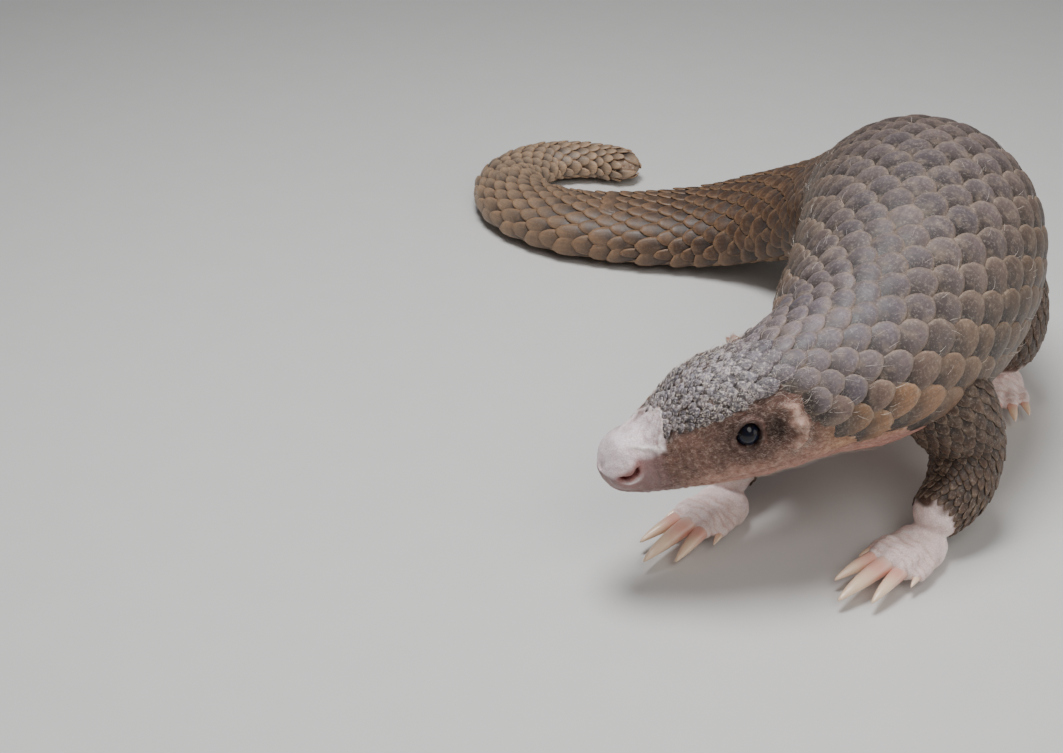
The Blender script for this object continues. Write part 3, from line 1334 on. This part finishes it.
def limb_parts(leg, middle, ahead):
    """A tube for the leg and rounded lumps for its foot, which overlap each other."""
    limb = leg_body(leg)
    s = np.linspace(0.4, limb.length - 0.4, 60)
    angle = np.linspace(-math.pi, math.pi, 64, endpoint=False)
    grid_s, grid_angle = np.meshgrid(s, angle, indexing="ij")
    parts = [tube_mesh("limb", placed(limb.at(grid_s, grid_angle, -0.35)))]
    parts.append(lump_mesh("pad", middle, ahead, np.cross(ahead, (0, 0, 1)), leg["shape"]["pad"]))
    for claw in leg["claws"]:
        parts += toe_parts(leg, claw)
    return parts


def melted(name, parts, cell):
    """One smooth body from parts that overlap."""
    piece = new_piece(name, joined_mesh(name, parts), None)
    melt = piece.modifiers.new("melt", "REMESH")
    melt.mode = "VOXEL"
    melt.voxel_size = cell
    ease = piece.modifiers.new("ease", "SMOOTH")
    ease.factor = 0.6
    ease.iterations = 5
    return apply_modifiers(piece)


def limb_tint(leg, p, wrinkle, colours):
    """Dark skin down to the foot, then pale bare skin with rosier wrinkles."""
    edge = leg["shape"]["bare_to"] + 1.4 * ripple(p, 6, 31)
    bare = 1 - smooth(p[:, 2], edge - 3, edge)
    tint = blend_colour(np.broadcast_to(np.array(colours.leg_skin), p.shape).copy(), colours.foot, bare)
    tint *= (1 + 0.10 * ripple(p, 5, 33))[:, None]
    tint = blend_colour(tint, np.array(colours.claw_quick) * 0.8, wrinkle * bare * 0.55)
    return np.clip(tint, 0, 1)


def limb_skin(leg, sizes, colours):
    """A leg with its wrinkled foot as one smooth body, and the colours of its points."""
    ahead = heading_of(leg)
    middle = np.array([*leg["at"], 2.5])
    piece = melted(leg["name"] + "_melt", limb_parts(leg, middle, ahead), sizes.foot_cell)
    verts = piece.data.vertices
    co = np.empty(len(verts) * 3)
    normals = np.empty(len(verts) * 3)
    verts.foreach_get("co", co)
    verts.foreach_get("normal", normals)
    co, normals = co.reshape(-1, 3), normals.reshape(-1, 3)
    p = (co - SHIFT) / MM
    along = (p - middle) @ ahead
    wave = np.sin(along * 2.3 + 1.6 * ripple(p, 6, 35))
    wrinkle = np.clip(wave, 0, 1) ** 3 * smooth(along, -2, 5) * (1 - smooth(p[:, 2], 9, 13))
    uneven = 0.14 * ripple(p, 3.4, 36) + 0.22 * ripple(p, 8, 37)
    co += normals * ((uneven - 0.32 * wrinkle) * MM)[:, None]
    co[:, 2] = np.maximum(co[:, 2], FLOOR_CLEAR)
    verts.foreach_set("co", co.ravel())
    return piece, limb_tint(leg, p, wrinkle, colours)


def nearest_values(points, sources, values):
    tree = KDTree(len(sources))
    for i, p in enumerate(sources):
        tree.insert(p, i)
    tree.balance()
    found = [tree.find(p)[1] for p in points]
    return values[found]


# How mottled the skin of legs and feet is
LIMB_MOTTLE = 0.22


def make_skin(sizes, colours):
    mesh, looks = spine_skin(sizes, colours)
    skin = new_piece("pangolin_skin", mesh, skin_material())
    sources = [np.array([v.co for v in mesh.vertices])[: len(looks)]]
    values = [looks]
    limbs = []
    for leg in LEGS:
        limb, tint = limb_skin(leg, sizes, colours)
        limbs.append(limb)
        sources.append(np.array([v.co for v in limb.data.vertices]))
        values.append(np.column_stack([tint, np.zeros(len(tint)), np.full(len(tint), LIMB_MOTTLE)]))
        join = skin.modifiers.new(leg["name"], "BOOLEAN")
        join.operation = "UNION"
        join.solver = "MANIFOLD"
        join.object = limb
    apply_modifiers(skin)
    for limb in limbs:
        bpy.data.objects.remove(limb)
    mesh = skin.data
    mesh.polygons.foreach_set("use_smooth", np.ones(len(mesh.polygons), bool))
    co = np.empty(len(mesh.vertices) * 3)
    mesh.vertices.foreach_get("co", co)
    found = nearest_values(co.reshape(-1, 3), np.vstack(sources), np.vstack(values))
    put_colour(mesh, "tint", found[:, :3])
    put_value(mesh, "wet", found[:, 3])
    put_value(mesh, "mottle", found[:, 4])
    nodes = ["head", "ear_left", "ear_right", "neck"]
    nodes += [leg["foot"] for leg in LEGS]
    return stands_for(skin, nodes)


# Scales of each region

def scaled_reach(s):
    """How far down the sides the scales come, in degrees from the middle of the back."""
    arch = 11 * math.exp(-(((s - 42) / 8) ** 2))
    crown = mix(28, 52, float(smooth(s, 15, 38))) - arch
    nape = mix(crown, 90, float(smooth(s, 52, 74)))
    return mix(nape, 118, float(smooth(s, 75, 98)))


def back_tint(s, angle, c):
    side = abs(math.degrees(angle))
    place = SPINE.bare(np.array(s), np.array(angle))
    patch = float(ripple(place, 6.5, 61))
    crown = mix(np.array(c.crown_scale), np.array(c.crown_edge), float(smooth(side + 7 * patch, 16, 40)))
    crown = mix(crown, np.array(c.crown_slate), 0.8 * float(smooth(ripple(place, 3.2, 62), 0.15, 0.6)))
    tint = mix(crown, np.array(c.nape_scale), float(smooth(s, 42, 58)))
    back = mix(np.array(c.back_scale), np.array(c.side_scale), float(smooth(side, 25, 75)))
    tint = mix(tint, back, float(smooth(s, 68, 112)))
    tan = float(smooth(side, 58, 82)) * (1 - float(smooth(s, 84, 120))) * float(smooth(s, 54, 62))
    tint = mix(tint, np.array(c.cheek_scale), tan)
    return mix(tint, np.array(c.tail_scale), float(smooth(s, 160, 240))) * (1 + 0.10 * patch)


def under_scales(s, angle):
    """The skin's forms that the scales of crown and nape lie on."""
    return face_form(s, angle) * (1 - smooth(s, 61, 73)) + np.minimum(ears(s, angle), 0)


def over_crown(s, angle):
    return under_scales(s, angle) + 0.5


# Distance from the nose, row step, column width on the back, widening to the sides
BACK_LAYOUT = np.array((
    (19, 1.4, 2.0, 0.0),
    (27, 1.7, 2.3, 0.0),
    (36, 2.2, 2.8, 0.0),
    (44, 3.0, 3.7, 0.01),
    (51, 4.0, 4.7, 0.03),
    (60, 5.0, 5.9, 0.05),
    (72, 6.0, 7.0, 0.05),
    (88, 6.8, 8.6, 0.035),
    (108, 7.4, 10.4, 0.015),
    (160, 7.8, 11.8, 0.0),
    (235, 7.2, 9.4, 0.0),
))


def back_layout(s):
    return tuple(np.interp(s, BACK_LAYOUT[:, 0], BACK_LAYOUT[:, k]) for k in (1, 2, 3))


# How far behind the nose the scales begin to keep clear of the ear
EAR_SCALES_FROM = 43.5


def ear_gap(s, angle, width):
    """The longest that a scale with its tip here may be without lying on the ear, or 0 for none."""
    half = width / 2 / HEAD_RADIUS
    if abs(angle) + half < EAR_FROM - 0.02 or abs(angle) - half > EAR_TO + 0.05:
        return math.inf
    if s < EAR_SCALES_FROM:
        return math.inf
    return max(0.0, s - EAR_ALONG - 0.6)


CROWN_END = 60.0


def make_back(sizes, c):
    """The scales from the forehead to the tail's root: rough small ones, then broad smooth ones."""
    draw = np.random.default_rng(12)
    crown = ScaleBatch(SPINE, under_scales)
    back = ScaleBatch(SPINE, under_scales)
    for s, angle, drift, gap, width in lattice(SPINE, CROWN_START, 234, back_layout, scaled_reach, draw):
        rough = 1 - float(smooth(s, 44, 66))
        size = draw.normal(1, mix(0.035, 0.10, rough))
        long = min(gap * 2.25 * size, ear_gap(s, angle, width))
        if long < gap * 0.9 or s < crown_edge(math.degrees(abs(angle))) + draw.normal(0, 0.4):
            continue
        batch = crown if s < CROWN_END else back
        even_height = mix(1.25, 1.5, float(smooth(s, 60, 100)))
        height = mix(even_height, draw.uniform(0.55, 1.15), rough)
        batch.add(
            s + draw.normal(0, gap * mix(0.05, 0.15, rough)),
            angle + draw.normal(0, mix(0.006, 0.014, rough)),
            drift + draw.normal(0, mix(0.001, 0.012, rough)),
            long,
            width * 1.08 * size,
            height * draw.uniform(0.9, 1.1),
            mix(sizes.back_thick / MM, 0.4, rough),
            draw.random(),
            back_tint(s, angle, c),
            mix(0.3, 1.0, rough) if batch is crown else 1.0,
        )
    mesh = crown.mesh("crown_scales", across=7, along=7, round_from=0.52, point=0.5, uneven=0.10, rim=0.72)
    material = horn_material("crown_horn", c.crown_flake, 0.42, 1.0, 5.0, 0.85)
    carried(new_piece("crown_scales", mesh, material))
    mesh = back.mesh("back_scales", across=11, along=11, round_from=0.56, point=0.5, uneven=0.05, rim=0.86)
    material = horn_material("back_horn", c.scale_margin, 0.55, 1.0, 11.0, 0.16, 0.06)
    stands_for(new_piece("back_scales", mesh, material), ["torso"])


def tail_tint(s, angle, c):
    share = float(smooth(s, SPINE.length - 190, SPINE.length - 40))
    tint = mix(np.array(c.tail_scale), np.array(c.tail_tip_scale), share)
    under = float(smooth(abs(math.degrees(angle)), 95, 125))
    return mix(tint, np.array(c.tail_tip_scale), under * 0.5)


# Where each stretch of tail scales starts and ends, its columns all round, its first and last step
TAIL_ZONES = (
    (232, 295, 20, 6.6, 6.6),
    (293, 375, 17, 6.4, 5.8),
    (373, 435, 14, 5.8, 5.4),
    (433, SPINE.length - 3.5, 11, 5.2, 4.4),
)


def tail_reach(s):
    """How far round the tail its scales come, in degrees from the middle of its top."""
    return mix(118, 190, float(smooth(s, 228, 256)))


# The four scales that cap the tip of the tail, below, at both sides and above
CAP_ANGLES = (math.pi, -math.pi / 2, math.pi / 2, 0.0)
CAP_LENGTH = 9.5
CAP_WIDTH = 8.4
CAP_HEIGHT = 1.0


def cap_tail(batch, thick, draw, c):
    for angle in CAP_ANGLES:
        tip = SPINE.length - 0.4
        tone = draw.random()
        batch.add(tip, angle, 0.0, CAP_LENGTH, CAP_WIDTH, CAP_HEIGHT, thick, tone, tail_tint(tip, angle, c))


def make_tail(sizes, c):
    draw = np.random.default_rng(13)
    batch = ScaleBatch(SPINE)
    thick = sizes.back_thick / MM
    for start, end, columns, first, last in TAIL_ZONES:
        layout = ring_layout(SPINE, columns, first, last, start, end)
        for s, angle, drift, gap, width in lattice(SPINE, start, end, layout, tail_reach, draw):
            size = draw.normal(1, 0.04)
            edge = abs(abs(angle) - math.pi / 2) < 0.34
            under = abs(angle) > math.radians(112)
            height = 2.3 if edge else 0.7 if under else 1.55
            tip = s + draw.normal(0, gap * 0.05) + (gap * 0.2 if edge else 0)
            batch.add(
                min(tip, SPINE.length - 0.6),
                angle,
                drift,
                gap * (2.5 if edge else 2.3) * size,
                width * (1.16 if edge else 1.06) * size,
                height * draw.uniform(0.9, 1.1),
                thick,
                draw.random(),
                tail_tint(s, angle, c),
            )
    cap_tail(batch, thick, draw, c)
    mesh = batch.mesh("tail_scales", across=8, along=8, round_from=0.5, point=0.6, uneven=0.04, rim=0.82)
    material = horn_material("tail_horn", c.tail_margin, 0.8, 0.9, 9.0, 0.06, 0.1)
    nodes = [f"tail_{i}" for i in range(1, 6)]
    stands_for(new_piece("tail_scales", mesh, material), nodes)


def make_leg_scales(leg, material, c):
    draw = np.random.default_rng(len(leg["name"]) + leg["sign"] * 3 + 40)
    limb = leg_body(leg)
    batch = ScaleBatch(limb)
    hind = leg["name"].startswith("hind")
    columns, gap, end = (26, 3.7, limb.length - 8) if hind else (21, 3.3, limb.length - 4.5)

    def reach(s):
        return mix(118, 190, float(smooth(s, 18, 28)))

    layout = ring_layout(limb, columns, gap, gap, 8, end)
    for s, angle, drift, gap, width in lattice(limb, 8, end, layout, reach, draw):
        size = draw.normal(1, 0.06)
        low = (1 - 0.4 * float(smooth(abs(angle), 1.4, 2.0))) * (1 - 0.5 * float(smooth(s, end - 8, end)))
        batch.add(
            s + draw.normal(0, 0.15),
            angle,
            drift,
            gap * 2.3 * size,
            width * 1.08 * size,
            draw.uniform(0.75, 1.0) * low,
            0.38,
            draw.random(),
            np.array(c.leg_scale),
        )
    name = leg["name"] + "_scales"
    mesh = batch.mesh(name, across=7, along=7, round_from=0.5, point=0.55, uneven=0.06)
    stands_for(new_piece(name, mesh, material), [leg["name"]])


# Claws and eyes

# Rings along a claw, and points round each ring
CLAW_RINGS = 26
CLAW_ROUND = 20


def claw_mesh(leg, claw, name):
    _, _, length, width, depth = claw
    way, centre = claw_place(leg, claw)
    side = np.cross(way, (0, 0, 1))
    share = np.linspace(0, 1, CLAW_RINGS)
    taper = mix(0.12, 1, (1 - share**2.1) ** 0.8)
    line = centre + way * mix(-1.2, length, share)[:, None]
    drop = share * share * depth * 0.2
    line[:, 2] = np.maximum(centre[2] - drop - (1 - taper) * depth * 0.28, depth / 2 * taper + 0.35)
    turn = np.linspace(0, math.tau, CLAW_ROUND, endpoint=False)
    ridge = 1 + 0.06 * np.cos(turn * 2) - 0.10 * peak(turn - 1.5 * math.pi, 0.5)
    rings = (
        line[:, None]
        + side * (width / 2 * np.cos(turn) * ridge)[None, :, None] * taper[:, None, None]
        + np.array([0, 0, 1]) * (depth / 2 * np.sin(turn) * ridge)[None, :, None] * taper[:, None, None]
    )
    mesh = tube_mesh(name, placed(rings))
    put_value(mesh, "along", np.append(np.repeat(share, CLAW_ROUND), [0, 1]))
    put_value(mesh, "across", np.append(np.tile(np.cos(turn), CLAW_RINGS), [0, 0]))
    return mesh


def eye_mesh(name, sign):
    centre = SPINE.at(EYE_ALONG, sign * EYE_ANGLE, -EYE_SUNK)
    out = SPINE.normal(np.array(EYE_ALONG), np.array(sign * EYE_ANGLE))
    ahead = unit(np.cross(out, (0, 0, 1)))
    side = np.cross(out, ahead)
    polar = np.linspace(0.02, math.pi - 0.02, 40)
    turn = np.linspace(0, math.tau, 56, endpoint=False)
    polar, turn = np.meshgrid(polar, turn, indexing="ij")
    cornea = 1 + 0.05 * peak(polar, 0.62)
    rings = centre + EYE_RADIUS * (
        out * (np.cos(polar) * cornea)[..., None]
        + ahead * (np.sin(polar) * np.cos(turn))[..., None]
        + side * (np.sin(polar) * np.sin(turn))[..., None]
    )
    return tube_mesh(name, placed(rings))


# Operators: one for each group of pieces

def settings():
    scene = bpy.context.scene
    return scene.pangolin_sizes, scene.pangolin_colours


class PANGOLIN_OT_skin(Operator):
    """Make the skin of head, body, tail, legs and feet in one piece"""

    bl_idname = "pangolin.skin"
    bl_label = "Skin"

    def execute(self, context):
        make_skin(*settings())
        return {"FINISHED"}


class PANGOLIN_OT_eyes(Operator):
    """Make the two glossy eyes in their lids"""

    bl_idname = "pangolin.eyes"
    bl_label = "Eyes"

    def execute(self, context):
        _, colours = settings()
        material = eye_material(colours)
        for side, sign in SIDES:
            name = f"eye_{side}_ball"
            piece = new_piece(name, eye_mesh(name, sign), material)
            stands_for(piece, [f"eye_{side}"])
        return {"FINISHED"}


class PANGOLIN_OT_scales(Operator):
    """Make the overlapping scales of crown, back, tail and legs"""

    bl_idname = "pangolin.scales"
    bl_label = "Scales"

    def execute(self, context):
        sizes, colours = settings()
        make_back(sizes, colours)
        make_tail(sizes, colours)
        leg_horn = horn_material("leg_horn", colours.scale_margin, 0.35, 0.95, 5.0, 0.2)
        for leg in LEGS:
            make_leg_scales(leg, leg_horn, colours)
        return {"FINISHED"}


class PANGOLIN_OT_claws(Operator):
    """Make the twenty claws in their toes"""

    bl_idname = "pangolin.claws"
    bl_label = "Claws"

    def execute(self, context):
        _, colours = settings()
        material = claw_material(colours)
        for leg in LEGS:
            for number, claw in zip(CLAW_NAMES, leg["claws"]):
                node = f"{leg['foot']}_claw_{number}"
                piece = new_piece(node + "_horn", claw_mesh(leg, claw, node + "_horn"), material)
                stands_for(piece, [node])
        return {"FINISHED"}


# How many hairs stand in the two ears together
EAR_HAIRS = 560


class PANGOLIN_OT_hair(Operator):
    """Make the bristles between the scales and the fine hairs of face and throat"""

    bl_idname = "pangolin.hair"
    bl_label = "Bristles and hairs"

    def execute(self, context):
        sizes, colours = settings()
        material = hair_material("bristle_hair", colours.bristle, colours.cheek)
        face_material = hair_material("face_hair", colours.face_hair, colours.cheek)
        draw = np.random.default_rng(7)
        self.back_bristles(sizes, material, draw)
        self.crown_hairs(sizes, material, draw)
        self.face_hairs(sizes, face_material, draw)
        self.ear_hairs(material, draw)
        return {"FINISHED"}

    def back_bristles(self, sizes, material, draw):
        count = sizes.bristles
        s = draw.uniform(30, 228, count)
        reach = np.array([math.radians(scaled_reach(v)) for v in s])
        angle = draw.choice((-1, 1), count) * draw.random(count) ** 0.6 * reach
        length = sizes.bristle_length / MM * draw.uniform(0.5, 1.1, count)
        radius = draw.uniform(0.05, 0.09, count)
        lean = draw.uniform(0.75, 0.98, count)
        mesh = hair_mesh("back_bristles", SPINE, s, angle, length, radius, lean, draw, joints=6)
        carried(new_piece("back_bristles", mesh, material))

    def crown_hairs(self, sizes, material, draw):
        count = sizes.hairs // 7
        s = draw.uniform(18, 66, count)
        reach = np.array([math.radians(scaled_reach(v)) for v in s])
        angle = draw.uniform(-1, 1, count) * reach
        length = draw.uniform(1.2, 2.4, count)
        radius = draw.uniform(0.03, 0.055, count)
        lean = draw.uniform(0.55, 0.95, count)
        mesh = hair_mesh("crown_hairs", SPINE, s, angle, length, radius, lean, draw, form=over_crown)
        carried(new_piece("crown_hairs", mesh, material))

    def ear_hairs(self, material, draw):
        count = EAR_HAIRS
        s = EAR_ALONG + draw.normal(-0.2, 1.7, count)
        angle = draw.uniform(EAR_FROM - 0.06, EAR_TO + 0.06, count) * draw.choice((-1, 1), count)
        length = draw.uniform(1.2, 3.0, count)
        radius = draw.uniform(0.020, 0.034, count)
        lean = draw.uniform(0.35, 0.85, count)
        mesh = hair_mesh("ear_hairs", SPINE, s, angle, length, radius, lean, draw, skin_relief, 0.9, 4)
        carried(new_piece("ear_hairs", mesh, material))

    def face_hairs(self, sizes, material, draw):
        count = sizes.hairs
        s = draw.uniform(13, 86, count * 3)
        angle = draw.uniform(0.6, math.pi, count * 3) * draw.choice((-1, 1), count * 3)
        _, _, ring = eye_offsets(s, angle)
        reach = np.array([math.radians(scaled_reach(v)) for v in s])
        sparse = draw.random(len(s)) < 1 - 0.6 * smooth(s, 55, 85)
        keep = (ring > 1.3) & (np.abs(angle) > reach - 0.05) & sparse
        s, angle = s[keep][:count], angle[keep][:count]
        longer = 0.6 + 0.7 * smooth(s, 12, 42) + 0.5 * smooth(ear_ridge(s, angle), 0.1, 0.6)
        length = sizes.hair_length / MM * draw.uniform(0.6, 1.3, len(s)) * longer
        radius = draw.uniform(0.020, 0.036, len(s))
        lean = draw.uniform(0.7, 0.95, len(s))
        mesh = hair_mesh("face_hairs", SPINE, s, angle, length, radius, lean, draw, skin_relief, 0.35, 3)
        carried(new_piece("face_hairs", mesh, material))


# Stage

FOCAL_PIXELS = 1575
PICTURE = (1063, 753)
EYE_PIXEL = (750, 436)
CAMERA_AZIMUTH = math.radians(30)
CAMERA_ELEVATION = math.radians(31)
CAMERA_DISTANCE = 0.45
SENSOR_WIDTH = 36
FLOOR_HALF = 6

# Each light: its place from the point it aims at, to the right, back to the camera and up; then its
# size, power and colour. The key light's place is given along the room's own directions.
KEY_LIGHT = ((-0.12, -0.04, 0.62), 0.30, 5.6, (0.97, 0.98, 1.0))
CAMERA_LIGHTS = {
    "front": ((0.15, 0.7, 0.25), 0.5, 2.2, (1.0, 0.97, 0.93)),
    "fill": ((0.7, 0.2, 0.0), 0.6, 1.3, (1.0, 0.97, 0.94)),
}
SKY_COLOUR = (0.86, 0.89, 0.93, 1)
SKY_STRENGTH = 0.15


def camera_axes():
    a, e = CAMERA_AZIMUTH, CAMERA_ELEVATION
    back = Vector((math.sin(a) * math.cos(e), -math.cos(a) * math.cos(e), math.sin(e)))
    right = Vector((math.cos(a), math.sin(a), 0))
    return right, back.cross(right), back


def make_camera():
    right, up, back = camera_axes()
    eye = Vector(placed(SPINE.at(EYE_ALONG, EYE_ANGLE)))
    across = (EYE_PIXEL[0] - PICTURE[0] / 2) / FOCAL_PIXELS * CAMERA_DISTANCE
    upward = -(EYE_PIXEL[1] - PICTURE[1] / 2) / FOCAL_PIXELS * CAMERA_DISTANCE
    data = bpy.data.cameras.new("camera")
    data.sensor_width = SENSOR_WIDTH
    data.lens = FOCAL_PIXELS * SENSOR_WIDTH / PICTURE[0]
    data.clip_start = 0.01
    camera = bpy.data.objects.new("camera", data)
    bpy.context.collection.objects.link(camera)
    turn = Matrix((right, up, back)).transposed().to_4x4()
    stand = eye - right * across - up * upward + back * CAMERA_DISTANCE
    camera.matrix_world = Matrix.Translation(stand) @ turn
    bpy.context.scene.camera = camera


def area_light(name, at, aim, size, power, colour=(1, 1, 1)):
    data = bpy.data.lights.new(name, "AREA")
    data.shape = "DISK"
    data.size = size
    data.energy = power
    data.color = colour
    light = bpy.data.objects.new(name, data)
    bpy.context.collection.objects.link(light)
    light.location = at
    light.rotation_euler = (Vector(aim) - Vector(at)).to_track_quat("-Z", "Y").to_euler()


def make_lights():
    right, up, back = camera_axes()
    aim = Vector(placed(SPINE.at(90.0, 0.0)))
    place, size, power, colour = KEY_LIGHT
    area_light("key", aim + Vector(place), aim, size, power, colour)
    for name, (place, size, power, colour) in CAMERA_LIGHTS.items():
        stand = aim + right * place[0] + back * place[1] + up * place[2]
        area_light(name, stand, aim, size, power, colour)


def make_sky(scene):
    world = bpy.data.worlds.new("studio")
    world.use_nodes = True
    background = world.node_tree.nodes["Background"]
    background.inputs[0].default_value = SKY_COLOUR
    background.inputs[1].default_value = SKY_STRENGTH
    scene.world = world


def make_floor(colours):
    material, n, shader = new_material("floor_paper", colours.floor)
    grain = n.noise(60, 3, n.place())
    tone = n.blend(grain, rgba(np.array(colours.floor) * 0.97), rgba(np.array(colours.floor) * 1.03))
    material.node_tree.links.new(tone, shader.inputs["Base Color"])
    shader.inputs["Roughness"].default_value = 0.7
    half = FLOOR_HALF
    corners = [(-half, -half, 0), (half, -half, 0), (half, half, 0), (-half, half, 0)]
    mesh = new_mesh("floor", corners, [(0, 1, 2, 3)])
    new_piece("floor", mesh, material)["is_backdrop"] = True


class PANGOLIN_OT_stage(Operator):
    """Make the pale floor, the soft lights and the camera"""

    bl_idname = "pangolin.stage"
    bl_label = "Stage"

    def execute(self, context):
        _, colours = settings()
        make_floor(colours)
        make_lights()
        make_sky(context.scene)
        make_camera()
        return {"FINISHED"}


STEPS = (
    PANGOLIN_OT_skin,
    PANGOLIN_OT_eyes,
    PANGOLIN_OT_scales,
    PANGOLIN_OT_claws,
    PANGOLIN_OT_hair,
    PANGOLIN_OT_stage,
)


class PANGOLIN_PT_panel(Panel):
    """Lists the pieces that can be built"""

    bl_idname = "PANGOLIN_PT_panel"
    bl_label = "Young pangolin"
    bl_space_type = "VIEW_3D"
    bl_region_type = "UI"
    bl_category = "Pangolin"

    def draw(self, context):
        for step in STEPS:
            self.layout.operator(step.bl_idname)
        for group in (context.scene.pangolin_sizes, context.scene.pangolin_colours):
            column = self.layout.column(align=True)
            for name in group.__annotations__:
                column.prop(group, name)


CLASSES = (PangolinSizes, PangolinColours, *STEPS, PANGOLIN_PT_panel)


def register():
    for cls in CLASSES:
        bpy.utils.register_class(cls)
    bpy.types.Scene.pangolin_sizes = PointerProperty(type=PangolinSizes)
    bpy.types.Scene.pangolin_colours = PointerProperty(type=PangolinColours)


def unregister():
    del bpy.types.Scene.pangolin_colours
    del bpy.types.Scene.pangolin_sizes
    for cls in reversed(CLASSES):
        bpy.utils.unregister_class(cls)


def main():
    register()
    bpy.ops.pangolin.skin()
    bpy.ops.pangolin.eyes()
    bpy.ops.pangolin.scales()
    bpy.ops.pangolin.claws()
    bpy.ops.pangolin.hair()
    bpy.ops.pangolin.stage()
    boxes = {"cad": CAD_BOX, "visual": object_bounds()}
    plain = {name: [[float(v) for v in corner] for corner in box] for name, box in boxes.items()}


if __name__ == "__main__":
    main()
